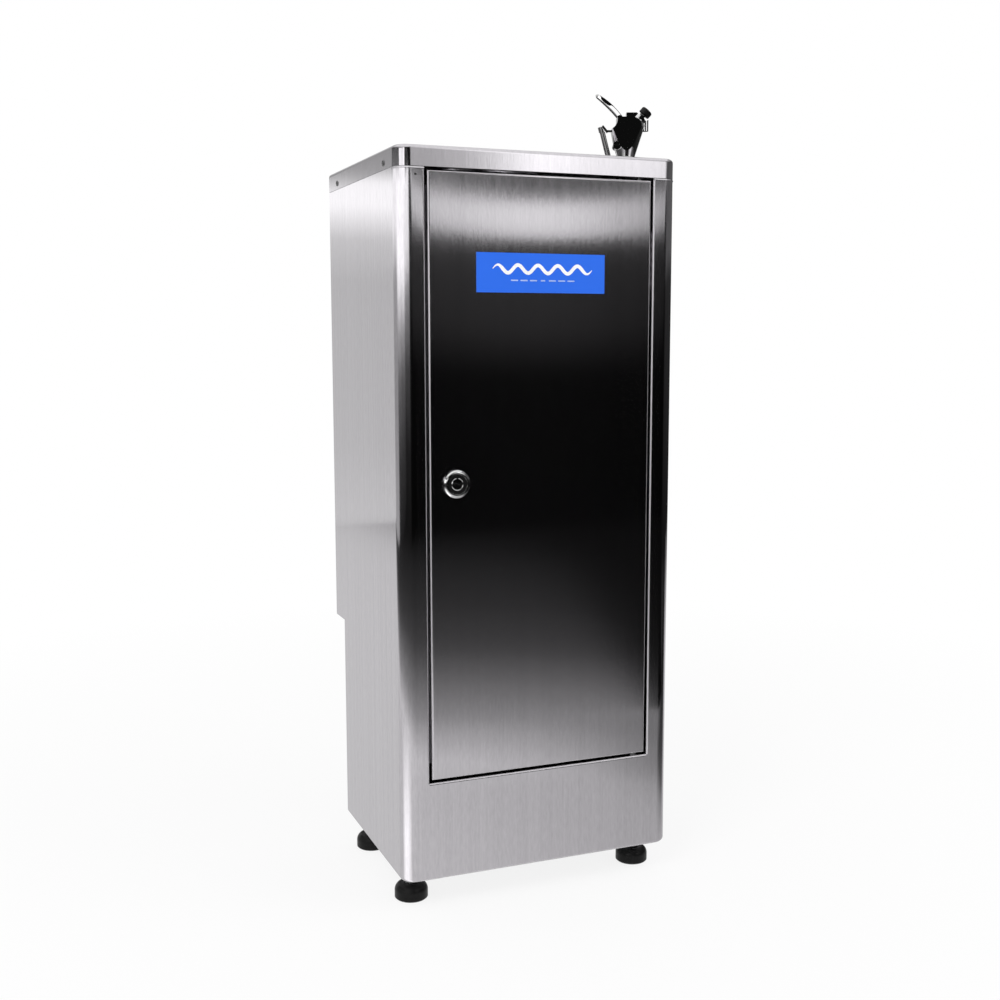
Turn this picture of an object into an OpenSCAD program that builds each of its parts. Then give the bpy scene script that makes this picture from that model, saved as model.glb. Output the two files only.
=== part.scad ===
// Floor-standing drinking water dispenser with a filter cabinet, a basin and a bubbler tap.
// Millimetres, +Z up, front towards -Y, origin on the floor under the middle of the cabinet.

/* [Cabinet] */
// Overall width of the cabinet
cabinet_w = 360; // [340:1:420]
// Overall depth of the cabinet
cabinet_d = 300; // [290:1:340]
// Height from the cabinet's bottom edge to its top face
cabinet_h = 870; // [840:1:960]
// Thickness of the cabinet's sheet steel
sheet_t = 1.5; // [1:0.1:2]
// Radius of the fold along the cabinet's bottom edge
base_fold_r = 5; // [3:0.5:6]
// Width of the lip folded in along the bottom edge
base_lip_w = 16; // [12:1:17]
// Outer radius of the sheets' folds
fold_r = 2.2; // [1.6:0.1:2.4]
// Radius of the two front vertical corners
corner_r = 18; // [10:1:26]
// Height of the strip under the door
plinth_h = 122; // [100:1:140]
// Width of the stile on each side of the door
stile_w = 33; // [29:1:40]
// Depth of the folded returns around the door opening
return_d = 22; // [21:1:28]
// Width of the lips folded in at the rear
rear_lip_w = 18; // [14:1:26]
// Depth of the pipe recess at the lower rear
recess_d = 41.5; // [40:0.5:50]
// Height of the pipe recess above the cabinet's bottom edge
recess_h = 273; // [250:1:300]

/* [Top] */
// Height of the top cover's folded skirt
skirt_h = 24; // [20:1:34]
// Radius of the fold between the top face and the skirt
cover_fold_r = 5; // [3:0.5:7]
// Gap between the skirt and the sheet below it
seam_gap = 0.5; // [0.2:0.1:1]
// Thickness of the frame under the top cover
frame_t = 2; // [1.5:0.1:3]
// How far the frame reaches below the skirt
frame_drop = 30; // [20:1:40]
// Height of the cover's side screws above the skirt's lower edge
cap_screw_up = 7.5; // [6:0.5:12]
// Distance of the front side screws from the cabinet's front
cap_screw_front_in = 50; // [40:1:80]
// Distance of the rear side screws from the cabinet's rear
cap_screw_rear_in = 42; // [30:1:80]
// Radius of the sheet screws
screw_r = 2; // [1.5:0.1:3]
// Radius of the sheet screws' heads
screw_head_r = 3.6; // [3.2:0.1:5]
// Height of the sheet screws' heads
screw_head_h = 1.2; // [1:0.1:2]

/* [Feet] */
// Height of the cabinet's bottom edge above the floor
foot_h = 40; // [36:1:50]
// Radius of a foot's pad
foot_r = 20.8; // [17:0.1:22]
// Height of the pad's straight rim
foot_rim_h = 10; // [6:0.5:12]
// Radius of the round over the pad
foot_dome_r = 10; // [8:0.5:10.5]
// Distance of the feet from the cabinet's sides
foot_side_in = 25.5; // [23:0.5:34]
// Distance of the front feet from the cabinet's front
foot_front_in = 53; // [40:1:60]
// Distance of the rear feet from the lower rear panel
foot_rear_in = 31.5; // [26:0.5:40]
// Radius of a foot's stud
stud_r = 5; // [4:0.5:6]
// Height of the nut on a foot's stud
stud_nut_h = 8; // [6:0.5:10]
// Half the width of that nut across its corners
stud_nut_r = 9.8; // [8.5:0.1:10.2]
// Height of the base tray's upturned edge
tray_h = 22; // [14:1:30]
// Thickness of the base tray
tray_t = 2; // [1.5:0.1:3]
// Height of the threaded bosses on the tray
boss_h = 16; // [10:1:20]
// Radius of the threaded bosses
boss_r = 10; // [8:0.5:12]

/* [Door] */
// Gap around the door
door_gap = 4; // [3:0.5:6]
// Depth of the door's folded pan
door_t = 20; // [18:0.5:20.5]
// Thickness of the door's sheet
door_sheet_t = 1.2; // [0.8:0.1:1.6]
// Width of the door's rear lips
door_lip_w = 14; // [10:1:20]
// Distance of the hinge axis behind the door's face
hinge_y_in = 9; // [8:0.5:10]
// Radius of the hinge pins
hinge_pin_r = 3; // [2.5:0.1:3.5]
// Radius of the hinge bushes
bush_r = 6; // [5:0.1:6.5]
// Length of the hinge bushes
bush_l = 14; // [10:1:24]
// Width of the door's stiffener
stiffener_w = 60; // [40:1:80]
// Depth of the door's stiffener
stiffener_d = 14; // [10:0.5:16]
// Reach of the stop strip into the door opening
stop_reach = 10; // [8:0.5:12]
// Radius of the rubber bumpers
bumper_r = 3.5; // [2:0.1:4]

/* [Lock] */
// Distance of the lock from the door's free edge
lock_edge_in = 32.5; // [30:0.5:40]
// Height of the lock above the cabinet's bottom edge
lock_up = 483; // [420:1:560]
// Radius of the lock's ring
lock_ring_r = 16.5; // [15.5:0.1:20]
// How far the ring stands proud of the door
lock_proud = 4.5; // [3:0.1:6]
// Radius of the lock's sleeve in the door
lock_sleeve_r = 14; // [13:0.1:15]
// Radius of the key plug
lock_plug_r = 11.75; // [10.5:0.05:12.2]
// Radius of the key recess in the plug
lock_key_r = 6.5; // [5:0.1:8]
// Depth of the key recess
lock_key_d = 7; // [4:0.5:10]
// Half the width of the fixing nut across its corners
lock_nut_r = 20; // [18:0.5:24]
// Height of the fixing nut
lock_nut_h = 5; // [3:0.5:8]
// How far the cam reaches past the door opening's edge
cam_engage = 3; // [2:0.5:5]
// Width of the cam
cam_w = 16; // [14:0.5:20]
// Thickness of the cam
cam_t = 2.5; // [2:0.1:4]

/* [Name plate] */
// Width of the plate on the door
plate_w = 165; // [120:1:200]
// Height of the plate
plate_h = 46; // [30:1:60]
// Thickness of the plate
plate_t = 0.8; // [0.5:0.1:1.5]
// Height of the plate's middle above the cabinet's bottom edge
plate_up = 729; // [650:1:760]

/* [Basin] */
// Place of the basin's middle to the left of the cabinet's middle
basin_left = 42; // [36:1:48]
// Inner radius of the basin
basin_r = 108; // [100:1:112]
// Depth of the basin at its wall
basin_depth = 46; // [40:1:56]
// Radius of the curve between the basin's wall and floor
basin_edge_r = 32; // [20:1:38]
// Fall of the basin's floor towards the drain
basin_fall = 6; // [4:0.5:10]
// Thickness of the basin's sheet
basin_t = 1.2; // [0.8:0.1:1.6]
// Width of the basin's rim on the top cover
rim_w = 8; // [6:0.5:10]

/* [Waste] */
// Outer radius of the drain's tail
drain_r = 20; // [18:0.5:22]
// Inner radius of the drain's tail
drain_bore_r = 16; // [14:0.5:17]
// Radius of the drain's flange in the basin
drain_flange_r = 30; // [27:0.5:34]
// Thickness of the drain's flange
drain_flange_t = 3; // [2.5:0.1:5]
// Length of the drain's tail below the basin
drain_tail_l = 45; // [40:1:55]
// Thickness of the drain's gasket
drain_gasket_t = 2; // [1:0.1:3]
// Height of the drain's nut
drain_nut_h = 8; // [6:0.5:12]
// Radius of the strainer's holes
strainer_hole_r = 2; // [1.5:0.1:2.5]
// Outer radius of the trap
trap_r = 32; // [30:0.5:38]
// Wall of the trap
trap_wall = 3; // [2:0.1:4]
// Height of the trap's body
trap_body_h = 85; // [80:1:100]
// Height of the trap's cup
trap_cup_h = 60; // [40:1:70]
// Outer radius of the waste pipe
waste_r = 16; // [14:0.5:16]
// Wall of the waste pipe
waste_wall = 2; // [1.5:0.1:3]
// Radius of the waste pipe's bend
waste_bend_r = 28; // [22:1:36]
// Length of the waste outlet below the ledge
waste_outlet_l = 45; // [30:1:60]

/* [Filters] */
// Distance of the filter head's top below the cabinet's top face
filter_drop = 278; // [270:1:290]
// Height of the filter head
head_h = 42; // [36:1:50]
// Depth of the filter head
head_d = 50; // [46:1:60]
// Place of the filters behind the cabinet's middle
filter_back = 20; // [10:1:25]
// Radius of a cartridge
cartridge_r = 40; // [34:0.5:42]
// Length of a cartridge below the head
cartridge_l = 330; // [280:1:340]
// Distance between two cartridges
cartridge_pitch = 92; // [90:1:96]
// Radius of a cartridge's neck
neck_r = 20; // [16:0.5:22]
// Length of a cartridge's neck
neck_l = 22; // [16:1:26]
// Height of the rail that carries the head
rail_h = 70; // [60:1:90]
// Thickness of the rail
rail_t = 2; // [1.5:0.1:3]

/* [Water supply] */
// Radius of the water tubes
tube_r = 4; // [3:0.1:5]
// Wall of the water tubes
tube_wall = 1; // [0.6:0.1:1.4]
// Radius of the tubes' bends
tube_bend_r = 16; // [12:1:22]
// Depth that a tube sits in its port
tube_seat = 12; // [8:0.5:14]
// Distance of the shut-off valve from the cabinet's left side
valve_side_in = 30; // [26:0.5:34]
// Height of the shut-off valve above the cabinet's bottom edge
valve_up = 130; // [110:1:140]
// Radius of the valve's threaded inlet
inlet_r = 10.48; // [8:0.01:12]
// Length of the valve's inlet behind the panel
inlet_l = 25; // [20:0.5:32]
// Height of the inlet's nut
inlet_nut_h = 6; // [4:0.5:8]
// Radius of the valve's body
valve_r = 12; // [10:0.5:13]
// Length of the valve's body
valve_l = 40; // [34:1:46]
// Height of the valve's stem above its body's middle
valve_stem_h = 20; // [16:0.5:24]
// Length of the valve's lever
lever_l = 42; // [30:1:46]
// Thickness of the valve's lever
lever_t = 4; // [3:0.5:6]

/* [Tap] */
// Distance of the tap from the cabinet's right side
tap_side_in = 52; // [46:0.5:58]
// Distance of the tap from the cabinet's front
tap_front_in = 52; // [46:0.5:60]
// Turn of the tap, so that its jet reaches the basin
tap_turn = -22.4; // [-40:0.1:0]
// Radius of the tap's base
tap_base_r = 21; // [17:0.5:24]
// Height of the tap's base above its gasket
tap_base_h = 3.5; // [3:0.5:10]
// Thickness of the tap's gasket
tap_gasket_t = 1; // [0.5:0.1:2]
// Radius of the tap's threaded shank
shank_r = 6; // [5.5:0.1:8]
// Length of the shank below the top cover
shank_l = 45; // [35:1:55]
// Radius of the body's foot
body_foot_r = 10.5; // [9:0.5:12]
// Radius of the body's widest part
body_top_r = 22.5; // [20:0.5:24]
// Height of the body's flared part
body_flare_h = 37; // [32:0.5:42]
// Radius of the round over the body's top
body_round_r = 10; // [8:0.5:13]
// Thickness of the body between its flat sides
body_t = 26; // [22:0.5:36]
// Offset of the body's axis from the base's axis
body_shift = 6; // [4:0.5:7]
// Radius of the throat cut in front of the body
throat_r = 12.6; // [11:0.1:16]
// Radius of the nozzle tube
nozzle_r = 3.3; // [2.8:0.1:4.5]
// Inner radius of the nozzle tube
nozzle_bore_r = 1.8; // [1.2:0.1:2.4]
// Length of the nozzle tube
nozzle_l = 39; // [30:0.5:42]
// Lean of the nozzle tube
nozzle_lean = 14.5; // [4:0.5:16]
// Thickness of the mouth guard
guard_t = 3.2; // [2.5:0.1:6]
// Width of the mouth guard
guard_w = 13; // [10:0.5:26]
// Length of the mouth guard outside the body
guard_l = 35.5; // [30:0.5:44]
// Radius of the mouth guard's bend
guard_bend_r = 130; // [90:1:200]
// Radius of the push button
button_r = 7.25; // [6:0.05:8]
// Thickness of the push button
button_t = 7; // [5:0.1:9]
// Rise of the button's axis above level
button_rise = 48; // [40:1:60]
// Free gap under the push button
button_gap = 4.5; // [4:0.1:6]
// Radius of the button's stem
button_stem_r = 3; // [2.5:0.1:3.5]
// Outer radius of the button's bonnet
bonnet_r = 8.5; // [8:0.1:9]
// Length of the button's bonnet
bonnet_l = 17; // [14:0.5:20]
// Radius of the flow screw
flow_screw_r = 3; // [2:0.1:3.5]

/* [Fits] */
// Gap between pieces that nest without moving
fit = 0.2; // [0.1:0.05:0.3]
// Radial clearance of a turning or sliding fit
run_fit = 0.05; // [0.03:0.01:0.09]

/* [Hidden] */
$fn = 64;
eps = 1;
half_w = cabinet_w / 2;
half_d = cabinet_d / 2;
front_y = -half_d;
base_z = foot_h;
top_z = base_z + cabinet_h;
skirt_z = top_z - skirt_h;
wrap_top_z = skirt_z - seam_gap;
wrap_h = wrap_top_z - base_z;
tray_z = base_z + sheet_t;

// Door opening and door
opening_w = cabinet_w - 2 * stile_w;
opening_z = base_z + plinth_h;
door_w = opening_w - 2 * door_gap;
door_z = opening_z + door_gap;
door_h = skirt_z - door_gap - door_z;
swing_room = door_gap - 1;
hinge_x_in = (hinge_y_in * hinge_y_in - swing_room * swing_room) / (2 * swing_room);
hinge_x = door_w / 2 - hinge_x_in;
hinge_y = front_y + hinge_y_in;
pin_head_h = 2;
pin_head_r = hinge_pin_r + 2;
pin_reach = bush_l - 3;
lift_gap = 0.3;
bracket_t = 3;
bracket_z = skirt_z + 2.5;

// Stop strip behind the door's free edge
stop_gap = 0.5;
stop_y = front_y + return_d + stop_gap;
stop_leg_x = -opening_w / 2 - sheet_t;
bumper_gap = 0.3;
bumper_margin = 60;

// Lock
lock_x = -door_w / 2 + lock_edge_in;
lock_z = base_z + lock_up;
cam_y = stop_y + sheet_t + stop_gap;
cam_l = opening_w / 2 + lock_x + cam_engage;
cam_drive = 8;
cam_screw_r = 2.5;

// Rear
lower_rear_y = half_d - recess_d;
ledge_z = base_z + recess_h;
lower_rear_in_y = lower_rear_y - sheet_t;
rear_cover_t = 1.2;
rear_cover_y = half_d - sheet_t - rear_cover_t;

// Feet
foot_x = half_w - foot_side_in;
foot_front_y = front_y + foot_front_in;
foot_rear_y = lower_rear_in_y + sheet_t - foot_rear_in;
foot_top_z = foot_rim_h + foot_dome_r;
boss_plate_r = foot_side_in - base_fold_r - tray_t - 1;
boss_plate_t = 3;
stud_seat = 8;
stud_end_z = tray_z + tray_t + boss_plate_t + boss_h + 10;

// Basin and drain, measured down from the top face
basin_x = -basin_left;
basin_y = 0;
basin_sump_z = top_z - basin_depth - basin_fall;
sump_r = drain_flange_r + 2;
drain_end_z = basin_sump_z - basin_t - drain_tail_l;
drain_nut_z = basin_sump_z - basin_t - drain_gasket_t - drain_nut_h;
strainer_t = 1.5;
strainer_r = drain_flange_r - 4;
trap_collar_h = 20;
trap_top_z = drain_end_z + trap_collar_h;
trap_z = trap_top_z - trap_body_h;
trap_floor = 5;
trap_outlet_z = trap_z + waste_r + waste_wall + trap_floor;
trap_thread_l = 12;

// Waste pipe and outlet
waste_x = basin_x;
waste_clear = 2.5;
waste_y = lower_rear_y + waste_r + waste_clear;
socket_l = 20;
trap_stub_end = basin_y + trap_r + socket_l;
outlet_flange_t = 3;
outlet_flange_w = 3.5;
outlet_flange_r = min(waste_r + outlet_flange_w, rear_cover_y - waste_y - fit);
outlet_socket_z = ledge_z + sheet_t + outlet_flange_t;

// Grooves that mark the free end of the inlet and of the waste outlet
relief_w = 3;
relief_d = 0.6;

// Filters
filter_y = filter_back;
head_z = top_z - filter_drop - head_h;
cartridge_xs = [for (i = [-1 : 1]) i * cartridge_pitch];
port_wall = 12;
tap_x = half_w - tap_side_in;
tap_y = front_y + tap_front_in;
socket_wall = 8;
valve_x = -half_w + valve_side_in;
tube_lead = 1;
head_left = valve_x + tube_bend_r + tube_lead;
head_right = max(tap_x + port_wall, cartridge_pitch + neck_r + socket_wall);
rail_y = filter_y + head_d / 2;
rail_flange = 20;
neck_gap = 0.3;
head_screw_in = 14;
head_screw_edge = 10;
head_screw_l = 9;

// Water supply
valve_z = base_z + valve_up;
valve_hex_l = 8;
valve_back_y = lower_rear_in_y - valve_hex_l;
valve_front_y = valve_back_y - valve_l;
valve_nut_l = 12;
valve_stem_y = valve_back_y - valve_l / 2;
supply_z = head_z + head_h / 2;
lever_gap = 0.3;
valve_stem_r = 3.5;
shank_end_z = top_z - sheet_t - shank_l;
outlet_lead = 20;
outlet_run_z = shank_end_z - tube_bend_r - outlet_lead;

// Tap, measured in its own frame: a runs away from the jet, h is up from the top face
body_z = tap_gasket_t + tap_base_h;
body_rim_h = 1.5;
body_h = body_flare_h + body_rim_h + body_round_r;
throat_in = 24;
throat_up = 45.5;
throat_a = body_shift - throat_in;
throat_h = body_z + throat_up;
nozzle_a = -15.1;
nozzle_gap = 5.3;
heel_lean = 9.5;
heel_a = nozzle_a + nozzle_r + nozzle_gap;
guard_rise = 48.5;
guard_in = 1.4;
guard_up = 19.2;
guard_mid_a = throat_a + guard_in;
guard_mid_h = throat_h + guard_up;
guard_seat = 12;
guard_span = guard_l / guard_bend_r * 180 / PI;
guard_root = guard_seat / guard_bend_r * 180 / PI;
guard_tip_r = 2.1;
bonnet_out = 18.8;
bonnet_up = 49.1;
bonnet_a = body_shift + bonnet_out;
bonnet_h = body_z + bonnet_up;
spring_wire_r = 0.5;
spring_r = button_stem_r + spring_wire_r + 0.6;
spring_room_r = spring_r + spring_wire_r + 0.5;
spring_room_l = bonnet_l - 6;
flow_in = 12;
flow_up = 13.6;
flow_a = body_shift - flow_in;
flow_h = body_z + flow_up;
flow_boss_r = flow_screw_r + 2;
flow_out = body_t / 2 + 3;
flow_depth = 10;

// Outline of the cabinet in plan, moved in from the outside by inset, with round front corners
module cabinet_plan(inset) {
  side = half_w - inset;
  translate([-side, front_y + corner_r])
    square([2 * side, cabinet_d - corner_r - inset]);
  translate([-half_w + corner_r, front_y + inset])
    square([cabinet_w - 2 * corner_r, corner_r - inset]);
  for (s = [-1, 1])
    translate([s * (half_w - corner_r), front_y + corner_r])
      circle(corner_r - inset);
}

// Upright wall that follows the cabinet's outline
module plan_wall(inset, wall, z, h) {
  translate([0, 0, z])
    difference() {
      linear_extrude(h)
        cabinet_plan(inset);
      translate([0, 0, -eps])
        linear_extrude(h + 2 * eps)
          cabinet_plan(inset + wall);
    }
}

// Rectangle with its two corners on the X axis side rounded
module folded_rect(l, d, r) {
  translate([0, r])
    square([l, d - r]);
  translate([r, 0])
    square([l - 2 * r, r]);
  for (x = [r, l - r])
    translate([x, r])
      circle(r);
}

// Bar that rounds a sharp edge along +Z, with the solid on its +X and +Y sides
module fold_cut(l, r) {
  linear_extrude(l)
    difference() {
      translate([-eps, -eps])
        square(r + eps);
      translate([r, r])
        circle(r);
    }
}

// Half section of the top cover's edge, from its corner's axis outwards
module cover_edge(reach, h, r) {
  square([reach, h - r]);
  square([reach - r, h]);
  translate([reach - r, h - r])
    circle(r);
}

// Block in the cabinet's outline with its upper edges rounded at the front and the sides
module cover_block(inset, h, r) {
  reach = corner_r - inset;
  run = cabinet_d - corner_r - inset;
  span = cabinet_w - 2 * corner_r;
  for (s = [0, 1])
    mirror([s, 0, 0])
      translate([span / 2, front_y + corner_r, 0]) {
        rotate([0, 0, -90])
          rotate_extrude(angle = 90)
            cover_edge(reach, h, r);
        translate([0, run, 0])
          rotate([90, 0, 0])
            linear_extrude(run)
              cover_edge(reach, h, r);
      }
  translate([-span / 2, front_y + corner_r, 0])
    rotate([90, 0, -90])
      mirror([0, 0, 1])
        linear_extrude(span)
          cover_edge(reach, h, r);
  translate([-span / 2, front_y + corner_r, 0])
    cube([span, run, h]);
}

// Part of the outline in front of the lower rear panel
module tray_plan(inset) {
  intersection() {
    cabinet_plan(inset);
    translate([-half_w, front_y])
      square([cabinet_w, lower_rear_in_y - front_y - (inset - sheet_t)]);
  }
}

// Turns a shape made along +Z so that it runs along +Y
module along_y() {
  rotate([-90, 0, 0])
    children();
}

// Turns a shape made along +Z so that it runs along +X
module along_x() {
  rotate([0, 90, 0])
    children();
}

// Quarter bend of a round bar, in the YZ plane, that starts at the given angle from +Y
module bend_yz(r, bend, from) {
  rotate([90, 0, 90])
    rotate([0, 0, from])
      rotate_extrude(angle = 90)
        translate([bend, 0])
          circle(r);
}

// Quarter bend of a round bar, in the XZ plane, that starts at the given angle from +X
module bend_xz(r, bend, from) {
  rotate([90, 0, 0])
    rotate([0, 0, from])
      rotate_extrude(angle = 90)
        translate([bend, 0])
          circle(r);
}

// Hexagon bar with its width given across the corners
module hex_bar(r, h) {
  cylinder(r = r, h = h, $fn = 6);
}

// Puts a child at each of the four feet
module at_feet() {
  for (x = [-foot_x, foot_x])
    for (y = [foot_front_y, foot_rear_y])
      translate([x, y, 0])
        children();
}

// Sheet screw along +Z with its head's seat at zero and its shank going down
module sheet_screw(l) {
  cylinder(r = screw_head_r, h = screw_head_h);
  translate([0, 0, -l])
    cylinder(r = screw_r, h = l + screw_head_h / 2);
}

// Puts a child at each side screw of the top cover, with +Z pointing out of the side
module at_cap_screws() {
  for (s = [-1, 1])
    for (y = [front_y + cap_screw_front_in, half_d - cap_screw_rear_in])
      translate([s * half_w, y, skirt_z + cap_screw_up])
        rotate([0, s * 90, 0])
          children();
}

// Puts a child at each rear cover screw, with +Z pointing out of the rear
module at_rear_screws() {
  low = ledge_z + 25;
  high = skirt_z - frame_drop - 15;
  for (s = [-1, 1])
    for (z = [low, (low + high) / 2, high])
      translate([s * (half_w - rear_lip_w / 2 - 1), half_d, z])
        along_y()
          children();
}

// Sides, rounded corners, stiles and plinth folded from one sheet
module cabinet_wrap() {
  color("gainsboro")
    difference() {
      union() {
        difference() {
          translate([0, 0, wrap_top_z])
            mirror([0, 0, 1])
              cover_block(0, wrap_h, base_fold_r);
          translate([0, 0, wrap_top_z + eps])
            mirror([0, 0, 1])
              cover_block(sheet_t, wrap_h - sheet_t + eps, base_fold_r - sheet_t);
          translate([0, 0, base_z - eps])
            linear_extrude(sheet_t + 2 * eps)
              cabinet_plan(base_lip_w);
          translate([-opening_w / 2, front_y - eps, opening_z])
            cube([opening_w, corner_r, cabinet_h]);
          translate([-half_w + rear_lip_w, half_d - sheet_t - eps, base_z - eps])
            cube([cabinet_w - 2 * rear_lip_w, sheet_t + 2 * eps, cabinet_h]);
          translate([-half_w - eps, lower_rear_y, base_z - eps])
            cube([cabinet_w + 2 * eps, recess_d + eps, recess_h + eps]);
        }
        for (s = [0, 1])
          mirror([s, 0, 0])
            translate([opening_w / 2, front_y, opening_z - sheet_t])
              cube([sheet_t, return_d, wrap_top_z - opening_z + sheet_t]);
        translate([-opening_w / 2, front_y, opening_z - sheet_t])
          cube([opening_w, return_d, sheet_t]);
      }
      for (s = [0, 1])
        mirror([s, 0, 0])
          translate([opening_w / 2, front_y, opening_z])
            fold_cut(cabinet_h, fold_r);
      translate([-opening_w / 2, front_y, opening_z])
        along_x()
          fold_cut(opening_w, fold_r);
      translate([hinge_x, hinge_y, opening_z - sheet_t - eps])
        cylinder(r = hinge_pin_r + fit, h = sheet_t + 2 * eps);
      at_rear_screws()
        translate([0, 0, -sheet_t - eps])
          cylinder(r = screw_r + fit, h = sheet_t + 2 * eps);
    }
}

// Shallow tray that closes the bottom and carries the feet
module base_tray() {
  color("silver")
    difference() {
      translate([0, 0, tray_z])
        linear_extrude(tray_h)
          tray_plan(base_fold_r);
      translate([0, 0, tray_z + tray_t])
        linear_extrude(tray_h)
          tray_plan(base_fold_r + tray_t);
      at_feet()
        translate([0, 0, tray_z - eps])
          cylinder(r = stud_r + fit, h = tray_t + 2 * eps);
    }
}

// Threaded bosses that take the feet's studs
module foot_bosses() {
  color("darkgray")
    at_feet()
      translate([0, 0, tray_z + tray_t])
        difference() {
          union() {
            cylinder(r = boss_plate_r, h = boss_plate_t);
            cylinder(r = boss_r, h = boss_plate_t + boss_h);
          }
          translate([0, 0, -eps])
            cylinder(r = stud_r + run_fit, h = boss_plate_t + boss_h + 2 * eps);
        }
}

// Upright frame inside the top edge, which the cover is screwed to
module top_frame() {
  low = skirt_z - frame_drop;
  cut_half = opening_w / 2 + 2 * sheet_t + 1;
  color("silver")
    difference() {
      plan_wall(sheet_t, frame_t, low, top_z - cover_fold_r - low);
      translate([-cut_half, front_y, low - eps])
        cube([2 * cut_half, return_d + 2 * sheet_t, frame_drop + eps + 1.5]);
      translate([-half_w, half_d - sheet_t - rear_cover_t - screw_r * 4, low - eps])
        cube([cabinet_w, recess_d, frame_drop + eps + 1]);
      at_cap_screws()
        translate([0, 0, -sheet_t - frame_t - eps])
          cylinder(r = screw_r + fit, h = frame_t + 2 * eps);
    }
}

// Vented sheet that closes the upper rear
module rear_cover() {
  cover_w = cabinet_w - 2 * sheet_t - 2;
  low = ledge_z + sheet_t;
  high = skirt_z - seam_gap;
  vent_w = 90;
  vent_h = 5;
  vent_pitch = 14;
  color("lightgray")
    difference() {
      translate([-cover_w / 2, rear_cover_y, low])
        cube([cover_w, rear_cover_t, high - low]);
      for (bank = [0.25, 0.8])
        for (i = [0 : 5])
          translate([-vent_w / 2, rear_cover_y - eps, low + bank * (high - low) + i * vent_pitch])
            cube([vent_w, rear_cover_t + 2 * eps, vent_h]);
      at_rear_screws()
        translate([0, 0, -sheet_t - rear_cover_t - eps])
          cylinder(r = screw_r + fit, h = rear_cover_t + 2 * eps);
    }
}

module rear_cover_screws() {
  color("dimgray")
    at_rear_screws()
      sheet_screw(sheet_t + rear_cover_t + 4);
}

// Recessed panel and ledge of the pipe recess
module lower_rear_panel() {
  panel_w = cabinet_w - 2 * sheet_t;
  color("lightgray")
    difference() {
      union() {
        translate([-panel_w / 2, lower_rear_in_y, base_z + base_fold_r])
          cube([panel_w, sheet_t, recess_h + sheet_t - base_fold_r]);
        translate([-panel_w / 2, lower_rear_in_y, ledge_z])
          cube([panel_w, half_d - sheet_t - lower_rear_in_y, sheet_t]);
      }
      translate([waste_x, waste_y, ledge_z - eps])
        cylinder(r = waste_r + fit, h = sheet_t + 2 * eps);
      translate([valve_x, lower_rear_in_y - eps, valve_z])
        along_y()
          cylinder(r = inlet_r + fit, h = sheet_t + 2 * eps);
    }
}

// Flat top with a folded skirt, cut out for the basin and the tap
module top_cover() {
  color("whitesmoke")
    difference() {
      translate([0, 0, skirt_z])
        cover_block(0, skirt_h, cover_fold_r);
      translate([0, 0, skirt_z - eps])
        cover_block(sheet_t, skirt_h - sheet_t + eps, cover_fold_r - sheet_t);
      translate([basin_x, basin_y, top_z - sheet_t - eps])
        cylinder(r = basin_r + basin_t + fit, h = sheet_t + 2 * eps);
      translate([tap_x, tap_y, top_z - sheet_t - eps])
        cylinder(r = shank_r + fit, h = sheet_t + 2 * eps);
      at_cap_screws()
        translate([0, 0, -sheet_t - eps])
          cylinder(r = screw_r + fit, h = sheet_t + 2 * eps);
    }
}

module cap_screws() {
  color("dimgray")
    at_cap_screws()
      sheet_screw(sheet_t + frame_t + 3);
}

// Angle strip that the door closes on and the lock's cam catches behind
module door_stop() {
  stop_h = door_h - 2 * door_lip_w;
  stop_z = door_z + door_lip_w;
  leg_d = return_d - sheet_t - 2;
  color("silver") {
    translate([stop_leg_x - sheet_t, stop_y + sheet_t - leg_d, stop_z])
      cube([sheet_t, leg_d, stop_h]);
    translate([stop_leg_x - sheet_t, stop_y, stop_z])
      cube([2 * sheet_t + stop_reach, sheet_t, stop_h]);
  }
}

// Rubber bumpers between the stop strip and the door
module door_bumpers() {
  bumper_l = stop_y - (front_y + door_t) - bumper_gap;
  bumper_x = -opening_w / 2 + stop_reach - bumper_r - 1;
  color("black")
    for (z = [door_z + bumper_margin, door_z + door_h - bumper_margin])
      translate([bumper_x, stop_y - bumper_l, z])
        along_y()
          cylinder(r = bumper_r, h = bumper_l);
}

// Plate on the top frame that holds the upper hinge pin
module hinge_bracket() {
  frame_in = sheet_t + frame_t;
  left = hinge_x - bush_r - 8;
  color("silver")
    translate([0, 0, bracket_z])
      difference() {
        linear_extrude(bracket_t)
          intersection() {
            cabinet_plan(frame_in);
            translate([left, front_y])
              square([half_w - left, hinge_y_in + 16]);
          }
        translate([hinge_x, hinge_y, -eps])
          cylinder(r = hinge_pin_r + run_fit, h = bracket_t + 2 * eps);
      }
}

// Upper pin hangs in the bracket, lower pin stands in the plinth's fold and carries the door
module hinge_pins() {
  upper_l = bracket_z + bracket_t - (door_z + door_h - pin_reach);
  color("dimgray")
    translate([hinge_x, hinge_y, 0]) {
      translate([0, 0, bracket_z + bracket_t]) {
        cylinder(r = pin_head_r, h = pin_head_h);
        translate([0, 0, -upper_l])
          cylinder(r = hinge_pin_r, h = upper_l + pin_head_h / 2);
      }
      translate([0, 0, opening_z]) {
        cylinder(r = pin_head_r, h = door_gap - lift_gap);
        translate([0, 0, -sheet_t - 3])
          cylinder(r = hinge_pin_r, h = sheet_t + 3 + door_gap + pin_reach);
      }
    }
}

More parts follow.
